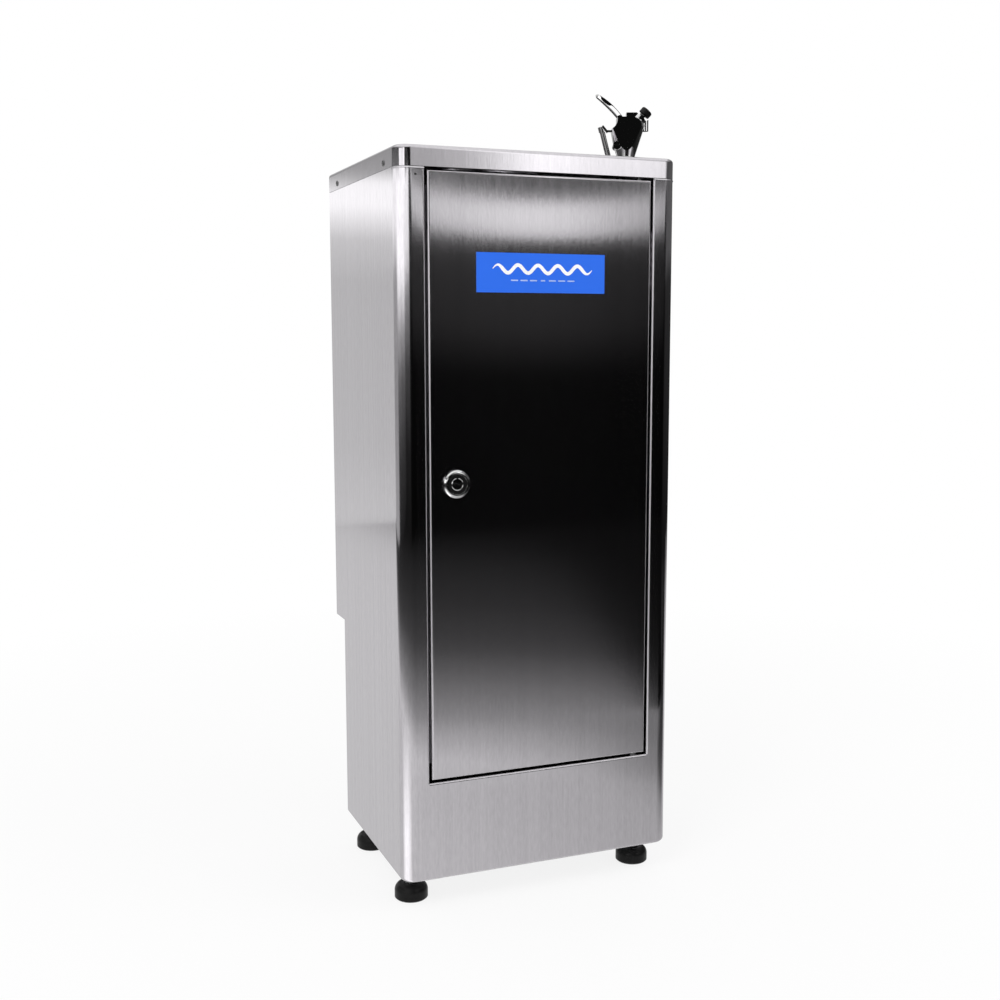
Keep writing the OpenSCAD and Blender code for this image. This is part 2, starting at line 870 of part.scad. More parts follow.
// Half section of the basin's hollow, grown outwards by the wall
module basin_section(grow) {
  flat_r = basin_r - basin_edge_r;
  curve_z = basin_edge_r - basin_depth;
  translate([0, curve_z])
    square([basin_r + grow, basin_depth - basin_edge_r]);
  intersection() {
    translate([flat_r, curve_z])
      circle(basin_edge_r + grow);
    translate([flat_r - eps, curve_z - basin_edge_r - grow])
      square(basin_edge_r + grow + eps);
  }
  polygon([
    [0, curve_z],
    [flat_r, curve_z],
    [flat_r, -basin_depth - grow],
    [sump_r, -basin_depth - basin_fall - grow],
    [0, -basin_depth - basin_fall - grow],
  ]);
}

// Bowl let into the top cover, with a rim that lies on it
module basin() {
  color("whitesmoke")
    translate([basin_x, basin_y, top_z])
      difference() {
        union() {
          rotate_extrude()
            basin_section(basin_t);
          cylinder(r = basin_r + basin_t + rim_w, h = basin_t);
        }
        rotate_extrude()
          basin_section(0);
        translate([0, 0, -eps])
          cylinder(r = basin_r, h = basin_t + 2 * eps);
        translate([0, 0, -basin_depth - basin_fall - basin_t - eps])
          cylinder(r = drain_r + fit, h = basin_t + 2 * eps);
      }
}

// Perforated plate in the drain's flange
module drain_strainer() {
  color("silver")
    translate([basin_x, basin_y, basin_sump_z + drain_flange_t - strainer_t])
      difference() {
        cylinder(r = strainer_r, h = strainer_t);
        for (ring = [1 : 2])
          for (i = [0 : 6 * ring - 1])
            rotate([0, 0, i * 60 / ring])
              translate([ring * drain_bore_r * 0.4, 0, -eps])
                cylinder(r = strainer_hole_r, h = strainer_t + 2 * eps);
      }
}

// Flanged tail that clamps through the basin's floor
module drain_fitting() {
  color("silver")
    translate([basin_x, basin_y, 0])
      difference() {
        union() {
          translate([0, 0, basin_sump_z])
            cylinder(r = drain_flange_r, h = drain_flange_t);
          translate([0, 0, drain_end_z])
            cylinder(r = drain_r, h = basin_sump_z - drain_end_z + drain_flange_t / 2);
        }
        translate([0, 0, drain_end_z - eps])
          cylinder(r = drain_bore_r, h = basin_sump_z - drain_end_z + drain_flange_t + 2 * eps);
        translate([0, 0, basin_sump_z + drain_flange_t - strainer_t])
          cylinder(r = strainer_r + fit, h = strainer_t + eps);
      }
}

module drain_gasket() {
  color("black")
    translate([basin_x, basin_y, drain_nut_z + drain_nut_h])
      difference() {
        cylinder(r = drain_flange_r, h = drain_gasket_t);
        translate([0, 0, -eps])
          cylinder(r = drain_r + fit, h = drain_gasket_t + 2 * eps);
      }
}

module drain_nut() {
  color("white")
    translate([basin_x, basin_y, drain_nut_z])
      difference() {
        hex_bar(drain_flange_r + 2, drain_nut_h);
        translate([0, 0, -eps])
          cylinder(r = drain_r + run_fit, h = drain_nut_h + 2 * eps);
      }
}

// Top half of the bottle trap, with the pipe's socket on its rear side
module trap_body() {
  collar_r = drain_r + trap_wall;
  chamber_top = trap_top_z - trap_collar_h;
  color("white")
    difference() {
      union() {
        translate([basin_x, basin_y, chamber_top - trap_wall])
          cylinder(r = collar_r, h = trap_collar_h + trap_wall);
        translate([basin_x, basin_y, trap_z])
          cylinder(r = trap_r, h = chamber_top - trap_z);
        translate([basin_x, basin_y, trap_outlet_z])
          along_y()
            cylinder(r = waste_r + waste_wall, h = trap_stub_end - basin_y);
      }
      translate([basin_x, basin_y, chamber_top])
        cylinder(r = drain_r + run_fit, h = trap_collar_h + eps);
      translate([basin_x, basin_y, chamber_top - trap_wall - eps])
        cylinder(r = drain_bore_r, h = trap_wall + 2 * eps);
      translate([basin_x, basin_y, trap_z - eps])
        cylinder(r = trap_r - trap_wall, h = chamber_top - trap_wall - trap_z + eps);
      translate([basin_x, basin_y, trap_outlet_z])
        along_y()
          cylinder(r = waste_r - waste_wall, h = trap_r + eps);
      translate([basin_x, basin_y + trap_r, trap_outlet_z])
        along_y()
          cylinder(r = waste_r + run_fit, h = socket_l + eps);
    }
}

// Cup that screws up into the trap's body
module trap_cup() {
  cup_r = trap_r - trap_wall - run_fit;
  color("white")
    translate([basin_x, basin_y, trap_z - trap_cup_h])
      difference() {
        union() {
          cylinder(r = trap_r, h = trap_cup_h);
          cylinder(r = cup_r, h = trap_cup_h + trap_thread_l);
        }
        translate([0, 0, trap_wall])
          cylinder(r = cup_r - trap_wall, h = trap_cup_h + trap_thread_l);
      }
}

// Route of the waste pipe from the trap back and down to the outlet
module waste_route(r, over) {
  start_y = basin_y + trap_r;
  bend_y = waste_y - waste_bend_r;
  bend_z = trap_outlet_z - waste_bend_r;
  translate([waste_x, start_y - over, trap_outlet_z])
    along_y()
      cylinder(r = r, h = bend_y - start_y + over);
  translate([waste_x, bend_y, bend_z])
    bend_yz(r, waste_bend_r, 0);
  translate([waste_x, waste_y, outlet_socket_z - over])
    cylinder(r = r, h = bend_z - outlet_socket_z + over);
}

module waste_pipe() {
  color("white")
    difference() {
      waste_route(waste_r, 0);
      waste_route(waste_r - waste_wall, eps);
    }
}

// Ring that cuts a shallow groove round a pipe end
module relief_ring(r) {
  difference() {
    cylinder(r = r + eps, h = relief_w);
    translate([0, 0, -eps])
      cylinder(r = r - relief_d, h = relief_w + 2 * eps);
  }
}

// Spigot through the ledge, with a socket for the pipe above it
module waste_outlet() {
  color("dimgray")
    translate([waste_x, waste_y, 0])
      difference() {
        union() {
          translate([0, 0, ledge_z - waste_outlet_l])
            cylinder(r = waste_r, h = waste_outlet_l + sheet_t + outlet_flange_t / 2);
          translate([0, 0, ledge_z + sheet_t])
            cylinder(r = outlet_flange_r, h = outlet_flange_t);
          translate([0, 0, ledge_z + sheet_t])
            cylinder(r = waste_r + waste_wall, h = outlet_flange_t + socket_l);
        }
        translate([0, 0, ledge_z - waste_outlet_l - eps])
          cylinder(r = waste_r - waste_wall, h = waste_outlet_l + recess_d);
        translate([0, 0, outlet_socket_z])
          cylinder(r = waste_r + run_fit, h = socket_l + eps);
        translate([0, 0, ledge_z - relief_w])
          relief_ring(waste_r);
      }
}

// Ball valve whose threaded inlet passes out through the recessed panel
module shutoff_valve() {
  color("goldenrod")
    difference() {
      union() {
        translate([valve_x, valve_back_y, valve_z])
          along_y()
            hex_bar(valve_r + 4, valve_hex_l);
        translate([valve_x, valve_back_y, valve_z])
          along_y()
            cylinder(r = inlet_r, h = valve_hex_l + sheet_t + inlet_l);
        translate([valve_x, valve_front_y, valve_z])
          along_y()
            cylinder(r = valve_r, h = valve_l + eps);
        translate([valve_x, valve_front_y - valve_nut_l, valve_z])
          along_y()
            hex_bar(tube_r + 7, valve_nut_l + eps);
        translate([valve_x, valve_stem_y, valve_z])
          cylinder(r = valve_stem_r + 3.5, h = valve_stem_h);
      }
      translate([valve_x, valve_stem_y, valve_z])
        along_y()
          cylinder(r = inlet_r - 3, h = valve_l + valve_hex_l + inlet_l + eps);
      translate([valve_x, valve_front_y - valve_nut_l - eps, valve_z])
        along_y()
          cylinder(r = tube_r + run_fit, h = tube_seat + eps);
      translate([valve_x, valve_stem_y, valve_z + valve_r / 2])
        cylinder(r = valve_stem_r + run_fit, h = valve_stem_h);
      translate([valve_x, lower_rear_y + inlet_nut_h, valve_z])
        along_y()
          relief_ring(inlet_r);
    }
}

module inlet_nut() {
  color("goldenrod")
    translate([valve_x, lower_rear_y, valve_z])
      along_y()
        difference() {
          hex_bar(inlet_r + 5, inlet_nut_h);
          translate([0, 0, -eps])
            cylinder(r = inlet_r + run_fit, h = inlet_nut_h + 2 * eps);
        }
}

// Route of the tube from the valve forward, up and into the filter head's left end
module supply_route(r, over) {
  start_y = valve_front_y - valve_nut_l + tube_seat;
  bend_y = filter_y + tube_bend_r;
  bend_low = valve_z + tube_bend_r;
  bend_high = supply_z - tube_bend_r;
  bend_x = valve_x + tube_bend_r;
  translate([valve_x, bend_y, valve_z])
    along_y()
      cylinder(r = r, h = start_y - bend_y + over);
  translate([valve_x, bend_y, bend_low])
    bend_yz(r, tube_bend_r, 180);
  translate([valve_x, filter_y, bend_low])
    cylinder(r = r, h = bend_high - bend_low);
  translate([bend_x, filter_y, bend_high])
    bend_xz(r, tube_bend_r, 90);
  translate([bend_x, filter_y, supply_z])
    along_x()
      cylinder(r = r, h = head_left + tube_seat - bend_x + over);
}

module supply_tube() {
  color("ivory")
    difference() {
      supply_route(tube_r, 0);
      supply_route(tube_r - tube_wall, eps);
    }
}

// Rail across the cabinet that carries the filter head
module filter_rail() {
  rail_w = cabinet_w - 2 * sheet_t;
  color("silver")
    difference() {
      translate([-rail_w / 2, rail_y, head_z])
        cube([rail_w, rail_flange, rail_h]);
      translate([-rail_w / 2 + rail_t, rail_y + rail_t, head_z - eps])
        cube([rail_w - 2 * rail_t, rail_flange, rail_h + 2 * eps]);
      at_head_screws()
        translate([0, 0, -rail_t - eps])
          cylinder(r = screw_r + fit, h = rail_t + 2 * eps);
    }
}

// Puts a child at each screw on the rail's rear face, with +Z pointing back
module at_head_screws() {
  for (x = [head_left + head_screw_in, head_right - head_screw_in])
    for (z = [head_z + head_screw_edge, head_z + head_h - head_screw_edge])
      translate([x, rail_y + rail_t, z])
        along_y()
          children();
}

// Manifold with a socket for each cartridge, the inlet at its left and the outlet on top
module filter_head() {
  color("whitesmoke")
    difference() {
      translate([head_left, filter_y - head_d / 2, head_z])
        cube([head_right - head_left, head_d, head_h]);
      for (x = cartridge_xs)
        translate([x, filter_y, head_z - eps])
          cylinder(r = neck_r + run_fit, h = neck_l + eps + 1);
      translate([head_left - eps, filter_y, supply_z])
        along_x()
          cylinder(r = tube_r + run_fit, h = tube_seat + eps);
      translate([tap_x, filter_y, head_z + head_h - tube_seat])
        cylinder(r = tube_r + run_fit, h = tube_seat + eps);
      at_head_screws()
        translate([0, 0, -rail_t - head_screw_l - 1])
          cylinder(r = screw_r + fit, h = head_screw_l + 1 + eps);
    }
}

module head_screws() {
  color("dimgray")
    at_head_screws()
      sheet_screw(rail_t + head_screw_l);
}

// Twist-off cartridge with a grip at its lower end
module filter_cartridge(x) {
  shoulder_r = 14;
  grip_h = 40;
  grip_r = 2;
  body_top = head_z - neck_gap;
  color("white")
    translate([x, filter_y, body_top - cartridge_l]) {
      rotate_extrude() {
        square([cartridge_r - shoulder_r, cartridge_l]);
        translate([0, shoulder_r])
          square([cartridge_r, cartridge_l - 2 * shoulder_r]);
        for (z = [shoulder_r, cartridge_l - shoulder_r])
          translate([cartridge_r - shoulder_r, z])
            circle(shoulder_r);
      }
      translate([0, 0, cartridge_l - eps])
        cylinder(r = neck_r, h = neck_l + neck_gap + eps);
      for (i = [0 : 11])
        rotate([0, 0, i * 30 + 15])
          translate([cartridge_r - grip_r / 4, 0, shoulder_r + 6])
            cylinder(r = grip_r, h = grip_h);
    }
}

// Route of the tube from the filter head up, forward and up into the tap's shank
module outlet_route(r, over) {
  start_z = head_z + head_h - tube_seat;
  low_z = outlet_run_z - tube_bend_r;
  high_z = outlet_run_z + tube_bend_r;
  back_y = filter_y - tube_bend_r;
  near_y = tap_y + tube_bend_r;
  translate([tap_x, filter_y, start_z - over])
    cylinder(r = r, h = low_z - start_z + over);
  translate([tap_x, back_y, low_z])
    bend_yz(r, tube_bend_r, 0);
  translate([tap_x, near_y, outlet_run_z])
    along_y()
      cylinder(r = r, h = back_y - near_y);
  translate([tap_x, near_y, high_z])
    bend_yz(r, tube_bend_r, 180);
  translate([tap_x, tap_y, high_z])
    cylinder(r = r, h = shank_end_z + tube_seat - high_z + over);
}

module outlet_tube() {
  color("ivory")
    difference() {
      outlet_route(tube_r, 0);
      outlet_route(tube_r - tube_wall, eps);
    }
}

// Moves a shape from the tap's own frame to its place on the top cover
module at_tap() {
  translate([tap_x, tap_y, top_z])
    rotate([0, 0, tap_turn])
      children();
}

module tap_gasket() {
  color("black")
    at_tap()
      difference() {
        cylinder(r = tap_base_r, h = tap_gasket_t);
        translate([0, 0, -eps])
          cylinder(r = shank_r + fit, h = tap_gasket_t + 2 * eps);
      }
}

// Round base with the threaded shank that goes down through the cover
module tap_base() {
  lip_h = 2;
  color("silver")
    at_tap()
      difference() {
        union() {
          translate([0, 0, tap_gasket_t])
            cylinder(r = tap_base_r, h = lip_h);
          translate([0, 0, tap_gasket_t + lip_h])
            cylinder(r1 = tap_base_r, r2 = tap_base_r - 1, h = tap_base_h - lip_h);
          translate([0, 0, -sheet_t - shank_l])
            cylinder(r = shank_r, h = shank_l + sheet_t + tap_gasket_t + lip_h);
        }
        translate([0, 0, -sheet_t - shank_l - eps])
          cylinder(r = tube_r + run_fit, h = tube_seat + eps);
        translate([0, 0, -sheet_t - shank_l])
          cylinder(r = tube_r - tube_wall, h = shank_l + sheet_t + body_z - 2);
      }
}

// Outline of the tap's body, revolved round its own axis
module body_round() {
  flat_r = body_top_r - body_round_r;
  round_h = body_h - body_round_r;
  translate([body_shift, 0, body_z])
    rotate_extrude() {
      polygon([[0, 0], [body_foot_r, 0], [body_top_r, body_flare_h], [body_top_r, round_h], [0, round_h]]);
      translate([0, round_h])
        square([flat_r, body_round_r]);
      intersection() {
        translate([flat_r, round_h])
          circle(body_round_r);
        translate([flat_r, round_h - eps])
          square(body_round_r + eps);
      }
    }
}

// Bar along the nozzle's leaning axis
module nozzle_bar(r, from, l) {
  translate([nozzle_a, 0, body_z])
    rotate([0, -nozzle_lean, 0])
      translate([0, 0, from])
        cylinder(r = r, h = l);
}

// Bar along the button's axis, from the bonnet's mouth
module button_bar(r, from, l) {
  translate([bonnet_a, 0, bonnet_h])
    rotate([0, 90 - button_rise, 0])
      translate([0, 0, from])
        cylinder(r = r, h = l);
}

// Curved leaf of the mouth guard, with its root inside the body
module guard_leaf(grow) {
  t = guard_t + 2 * grow;
  w = guard_w + 2 * grow;
  centre_a = guard_mid_a - guard_bend_r * cos(guard_rise);
  centre_h = guard_mid_h - guard_bend_r * sin(guard_rise);
  translate([centre_a, 0, centre_h])
    rotate([90, 0, 0])
      rotate([0, 0, guard_rise - guard_span / 2 - guard_root])
        rotate_extrude(angle = guard_span + guard_root)
          translate([guard_bend_r - t / 2, -w / 2])
            square([t, w]);
}

// Flared body with flat sides, cut away for the jet and along the nozzle
module body_shell() {
  lip_r = 4.2;
  lip_a = bonnet_a + 4.7;
  lip_h = body_z + 32.5;
  lip_l = 15;
  root_r = 3.6;
  root_w = guard_w + 4;
  shelf_t = 1.5;
  shelf_l = 9;
  finger_t = 1.8;
  finger_l = 8;
  finger_w = 8;
  finger_rise = 50;
  difference() {
    union() {
      intersection() {
        body_round();
        translate([-body_top_r * 2, -body_t / 2, 0])
          cube([body_top_r * 4, body_t, body_z + body_h + eps]);
      }
      translate([lip_a, 0, lip_h])
        cylinder(r = lip_r, h = lip_l);
      translate([throat_a + throat_r + root_r - 0.4, root_w / 2, body_z + body_h - 1])
        rotate([90, 0, 0])
          cylinder(r = root_r, h = root_w);
    }
    translate([throat_a, body_top_r * 2, throat_h])
      rotate([90, 0, 0])
        cylinder(r = throat_r, h = body_top_r * 4);
    translate([heel_a, 0, body_z])
      rotate([0, -heel_lean, 0])
        translate([-body_top_r * 2, -body_top_r * 2, -body_top_r])
          cube([body_top_r * 2, body_top_r * 4, body_top_r * 4]);
  }
  translate([throat_a, -finger_w / 2, throat_h - throat_r]) {
    translate([0, 0, -shelf_t / 2])
      cube([shelf_l, finger_w, shelf_t]);
    rotate([0, finger_rise - 180, 0])
      translate([-finger_t, 0, -finger_t / 2])
        cube([finger_l + finger_t, finger_w, finger_t]);
  }
}

// Cast body with a seat for the guard, the bonnet's bore and a boss for the flow screw
module tap_body() {
  color("silver")
    at_tap()
      difference() {
        union() {
          body_shell();
          translate([flow_a, -flow_out, flow_h])
            along_y()
              cylinder(r = flow_boss_r, h = flow_out);
        }
        guard_leaf(run_fit);
        button_bar(bonnet_r + run_fit, -bonnet_l, bonnet_l * 2);
        button_bar(button_stem_r + fit + lift_gap, -bonnet_l - button_gap - eps, bonnet_l);
        translate([flow_a, -flow_out - eps, flow_h])
          along_y()
            cylinder(r = flow_screw_r + run_fit, h = flow_depth + eps);
      }
}

// Tube that the jet leaves, with a rim cut away towards the body
module tap_nozzle() {
  rim_slope = 68;
  rim_w = 0.8;
  rim_l = 6;
  bore_l = 20;
  color("silver")
    at_tap()
      difference() {
        union() {
          nozzle_bar(nozzle_r, -nozzle_r, nozzle_l + nozzle_r);
          nozzle_bar(nozzle_r + rim_w, nozzle_l - rim_l, rim_l);
        }
        nozzle_bar(nozzle_bore_r, nozzle_l - bore_l, bore_l + eps);
        translate([nozzle_a, 0, body_z])
          rotate([0, -nozzle_lean, 0])
            translate([0, 0, nozzle_l])
              rotate([0, rim_slope, 0])
                translate([-nozzle_r, -nozzle_r * 2, 0])
                  cube(nozzle_r * 4);
        translate([nozzle_a - nozzle_r * 4, -nozzle_r * 2, body_z - nozzle_r * 4])
          cube([nozzle_r * 8, nozzle_r * 4, nozzle_r * 4]);
      }
}

// Leaf that keeps the mouth off the nozzle, with a thick rounded tip
module mouth_guard() {
  tip_angle = guard_rise + guard_span / 2;
  centre_a = guard_mid_a - guard_bend_r * cos(guard_rise);
  centre_h = guard_mid_h - guard_bend_r * sin(guard_rise);
  tip_a = centre_a + guard_bend_r * cos(tip_angle);
  tip_h = centre_h + guard_bend_r * sin(tip_angle);
  tip_w = guard_w - 4;
  tip_round = guard_w * 0.6;
  round_at = guard_l / 2 + guard_tip_r - tip_round;
  color("silver")
    at_tap()
      intersection() {
        union() {
          guard_leaf(0);
          translate([tip_a, tip_w / 2, tip_h])
            rotate([90, 0, 0])
              cylinder(r = guard_tip_r, h = tip_w);
        }
        union() {
          translate([guard_mid_a, 0, guard_mid_h])
            rotate([0, -guard_rise, 0])
              translate([-guard_l, -guard_w, -guard_l * 1.5])
                cube([2 * guard_l, 2 * guard_w, guard_l * 1.5 + round_at]);
          translate([guard_mid_a, 0, guard_mid_h])
            rotate([0, 90 - guard_rise, 0])
              translate([-round_at, 0, -guard_l])
                cylinder(r = tip_round, h = 2 * guard_l);
        }
      }
}

// Bonnet that guides the button's stem, tied to the body's top by an arm
module button_bonnet() {
  arm_w = 12;
  arm_t = 6;
  arm_from = body_shift;
  arm_to = bonnet_a - bonnet_r / 2;
  color("silver")
    at_tap()
      difference() {
        union() {
          button_bar(bonnet_r, -bonnet_l, bonnet_l);
          translate([arm_from, -arm_w / 2, body_z + body_h])
            cube([arm_to - arm_from, arm_w, arm_t]);
        }
        button_bar(button_stem_r + run_fit, -bonnet_l - eps, bonnet_l + 2 * eps);
        button_bar(spring_room_r, -spring_room_l, spring_room_l + eps);
        button_bar(bonnet_r * 2, 0, bonnet_l);
      }
}

// Points round the wire at one place along the spring
function spring_ring(turn, pitch, z0) = [
  for (k = [0 : 5])
    let (
      around = 60 * k,
      r = spring_r + spring_wire_r * cos(around),
      z = z0 + turn * pitch + spring_wire_r * sin(around)
    )
    [r * cos(360 * turn), r * sin(360 * turn), z]
];

// Coil spring in the bonnet that returns the button
module button_spring() {
  turns = 5;
  steps = 12;
  rings = turns * steps;
  low = -spring_room_l + spring_wire_r + 0.1;
  high = button_gap - spring_wire_r - 0.1;
  pitch = (high - low) / turns;
  points = [for (i = [0 : rings]) each spring_ring(i / steps, pitch, low)];
  sides = [
    for (i = [0 : rings - 1])
      for (k = [0 : 5])
        let (a = 6 * i + k, b = 6 * i + (k + 1) % 6)
        each [[a, b, b + 6], [a, b + 6, a + 6]]
  ];
  ends = [
    for (k = [1 : 4])
      each [[0, k + 1, k], [6 * rings, 6 * rings + k, 6 * rings + k + 1]]
  ];
  echo(least_gap_between_spring_turns = pitch - 2 * spring_wire_r);
  color("dimgray")
    at_tap()
      translate([bonnet_a, 0, bonnet_h])
        rotate([0, 90 - button_rise, 0])
          polyhedron(points, concat(sides, ends));
}

module tap_nut() {
  tap_nut_h = 8;
  color("goldenrod")
    at_tap()
      translate([0, 0, -sheet_t - tap_nut_h])
        difference() {
          hex_bar(shank_r + 7, tap_nut_h);
          translate([0, 0, -eps])
            cylinder(r = shank_r + run_fit, h = tap_nut_h + 2 * eps);
        }
}

// Folded pan with a lip round its rear
module door_panel() {
  inner_w = door_w - 2 * door_sheet_t;
  inner_h = door_h - 2 * door_sheet_t;
  color("gainsboro")
    difference() {
      intersection() {
        translate([-door_w / 2, front_y, door_z])
          linear_extrude(door_h)
            folded_rect(door_w, door_t, fold_r);
        translate([door_w / 2, front_y, door_z])
          rotate([0, -90, 0])
            linear_extrude(door_w)
              folded_rect(door_h, door_t, fold_r);
      }
      translate([-inner_w / 2, front_y + door_sheet_t, door_z + door_sheet_t])
        cube([inner_w, door_t - 2 * door_sheet_t, inner_h]);
      translate([-door_w / 2 + door_lip_w, front_y + door_t / 2, door_z + door_lip_w])
        cube([door_w - 2 * door_lip_w, door_t, door_h - 2 * door_lip_w]);
      for (z = [door_z - eps, door_z + door_h - door_sheet_t - eps])
        translate([hinge_x, hinge_y, z])
          cylinder(r = hinge_pin_r + fit + lift_gap, h = door_sheet_t + 2 * eps);
      translate([lock_x, front_y - eps, lock_z])
        along_y()
          cylinder(r = lock_sleeve_r + fit, h = door_sheet_t + 2 * eps);
    }
}

// Hat section on the door's inner face
module door_stiffener() {
  margin = 40;
  flange = 12;
  wall = 1.2;
  seat_y = front_y + door_sheet_t;
  color("lightgray")
    translate([0, seat_y, door_z + margin])
      linear_extrude(door_h - 2 * margin)
        difference() {
          union() {
            translate([-stiffener_w / 2, 0])
              square([stiffener_w, wall]);
            translate([-stiffener_w / 2 + flange, 0])
              square([stiffener_w - 2 * flange, stiffener_d]);
          }
          translate([-stiffener_w / 2 + flange + wall, -eps])
            square([stiffener_w - 2 * flange - 2 * wall, stiffener_d - wall + eps]);
        }
}

// Plain plate on the door's face
module name_plate() {
  plate_x = -2;
  color("dodgerblue")
    translate([plate_x - plate_w / 2, front_y - plate_t, base_z + plate_up - plate_h / 2])
      cube([plate_w, plate_t, plate_h]);
}

// Ring on the door's face and the sleeve behind it
module lock_housing() {
  chamfer = 1.5;
  slit_w = 1.2;
  sleeve_l = door_t - 2;
  color("silver")
    translate([lock_x, front_y, lock_z])
      along_y()
        difference() {
          union() {
            translate([0, 0, -lock_proud])
              cylinder(r1 = lock_ring_r - chamfer, r2 = lock_ring_r, h = chamfer);
            translate([0, 0, -lock_proud + chamfer])
              cylinder(r = lock_ring_r, h = lock_proud - chamfer);
            cylinder(r = lock_sleeve_r, h = sleeve_l);
          }
          translate([0, 0, -lock_proud - eps])
            cylinder(r = lock_plug_r + run_fit, h = lock_proud + sleeve_l + 2 * eps);
          translate([-lock_ring_r - eps, -slit_w / 2, -lock_proud - eps])
            cube([lock_ring_r - lock_plug_r + eps, slit_w, lock_proud / 2 + eps]);
        }
}

module lock_nut() {
  color("silver")
    translate([lock_x, front_y + door_sheet_t, lock_z])
      along_y()
        difference() {
          hex_bar(lock_nut_r, lock_nut_h);
          translate([0, 0, -eps])
            cylinder(r = lock_sleeve_r + run_fit, h = lock_nut_h + 2 * eps);
        }
}

// Bushes inside the door's top and bottom folds
module hinge_bushes() {
  low = door_z + door_sheet_t;
  high = door_z + door_h - door_sheet_t - bush_l;
  color("white")
    for (z = [low, high])
      translate([hinge_x, hinge_y, z])
        difference() {
          cylinder(r = bush_r, h = bush_l);
          translate([0, 0, -eps])
            cylinder(r = hinge_pin_r + run_fit, h = bush_l + 2 * eps);
        }
}

// Key plug that turns in the housing and drives the cam
module lock_plug() {
  face = -lock_proud + 1;
  drive_end = cam_y - front_y;
  bar_w = 2.4;
  color("black")
    translate([lock_x, front_y, lock_z])
      along_y()
        difference() {
          union() {
            translate([0, 0, face])
              cylinder(r = lock_plug_r, h = drive_end - face);
            translate([-cam_drive / 2, -cam_drive / 2, drive_end - eps])
              cube([cam_drive, cam_drive, cam_t + eps]);
          }
          difference() {
            translate([0, 0, face - eps])
              cylinder(r = lock_key_r, h = lock_key_d + eps);
            translate([-lock_key_r, -bar_w / 2, face + 1])
              cube([2 * lock_key_r, bar_w, lock_key_d]);
          }
          translate([0, 0, drive_end - 8])
            cylinder(r = cam_screw_r + run_fit, h = 8 + cam_t + eps);
        }
}

// Cam on the plug's inner end, hanging down while unlocked
module lock_cam() {
  color("silver")
    translate([lock_x, cam_y, lock_z])
      along_y()
        difference() {
          union() {
            cylinder(r = cam_w / 2, h = cam_t);
            translate([-cam_w / 2, 0, 0])
              cube([cam_w, cam_l, cam_t]);
          }
          translate([-cam_drive / 2 - run_fit, -cam_drive / 2 - run_fit, -eps])
            cube([cam_drive + 2 * run_fit, cam_drive + 2 * run_fit, cam_t + 2 * eps]);
        }
}

module cam_screw() {
  head_r = 6;
  head_h = 3;
  color("dimgray")
    translate([lock_x, cam_y + cam_t, lock_z])
      along_y() {
        cylinder(r = head_r, h = head_h);
        translate([0, 0, -cam_t - 7])
          cylinder(r = cam_screw_r, h = cam_t + 7 + head_h / 2);
      }
}

// Thumb button and its stem
module push_button() {
  edge = 1;
  color("dimgray")
    at_tap() {
      button_bar(button_stem_r, -bonnet_l, bonnet_l + button_gap + eps);
      translate([bonnet_a, 0, bonnet_h])
        rotate([0, 90 - button_rise, 0]) {
          translate([0, 0, button_gap])
            cylinder(r = button_r, h = button_t - edge);
          translate([0, 0, button_gap + button_t - edge])
            cylinder(r1 = button_r, r2 = button_r - edge, h = edge);
        }
    }
}

// Lever of the shut-off valve with its stem
module shutoff_lever() {
  hub_r = 8;
  lever_w = 10;
  lever_z = valve_z + valve_stem_h + lever_gap;
  color("firebrick")
    translate([valve_x, valve_stem_y, 0]) {
      translate([0, 0, lever_z])
        cylinder(r = hub_r, h = lever_t + 2);
      translate([-lever_w / 2, -lever_l, lever_z])
        cube([lever_w, lever_l, lever_t]);
      translate([0, 0, valve_z + valve_r / 2 + 1])
        cylinder(r = valve_stem_r, h = valve_stem_h);
    }
}

// Slotted screw that sets the height of the jet
module flow_screw() {
  slot_w = 1;
  slot_d = 1.2;
  screw_l = flow_depth - 1;
  color("silver")
    at_tap()
      translate([flow_a, -flow_out, flow_h])
        along_y()
          difference() {
            translate([0, 0, 0.5])
              cylinder(r = flow_screw_r, h = screw_l);
            translate([-flow_screw_r, -slot_w / 2, 0])
              cube([2 * flow_screw_r, slot_w, slot_d]);
          }
}

// Black pad with a straight rim and a round shoulder
module foot_pad(x, y) {
  edge = 1.5;
  flat_r = foot_r - foot_dome_r;
  color("black")
    translate([x, y, 0])
      difference() {
        rotate_extrude() {
          polygon([[0, 0], [foot_r - edge, 0], [foot_r, edge], [foot_r, foot_rim_h], [0, foot_rim_h]]);
          square([flat_r, foot_top_z]);
          intersection() {
            translate([flat_r, foot_rim_h])
              circle(foot_dome_r);
            translate([flat_r, foot_rim_h - eps])
              square(foot_dome_r + eps);
          }
        }
        translate([0, 0, foot_top_z - stud_seat])
          cylinder(r = stud_r + run_fit, h = stud_seat + eps);
      }
}

// Threaded stud with its nut
module foot_stud(x, y) {
  color("silver")
    translate([x, y, 0]) {
      translate([0, 0, foot_top_z - stud_seat])
        cylinder(r = stud_r, h = stud_end_z - foot_top_z + stud_seat);
      translate([0, 0, foot_top_z])
        hex_bar(stud_nut_r, stud_nut_h);
    }
}

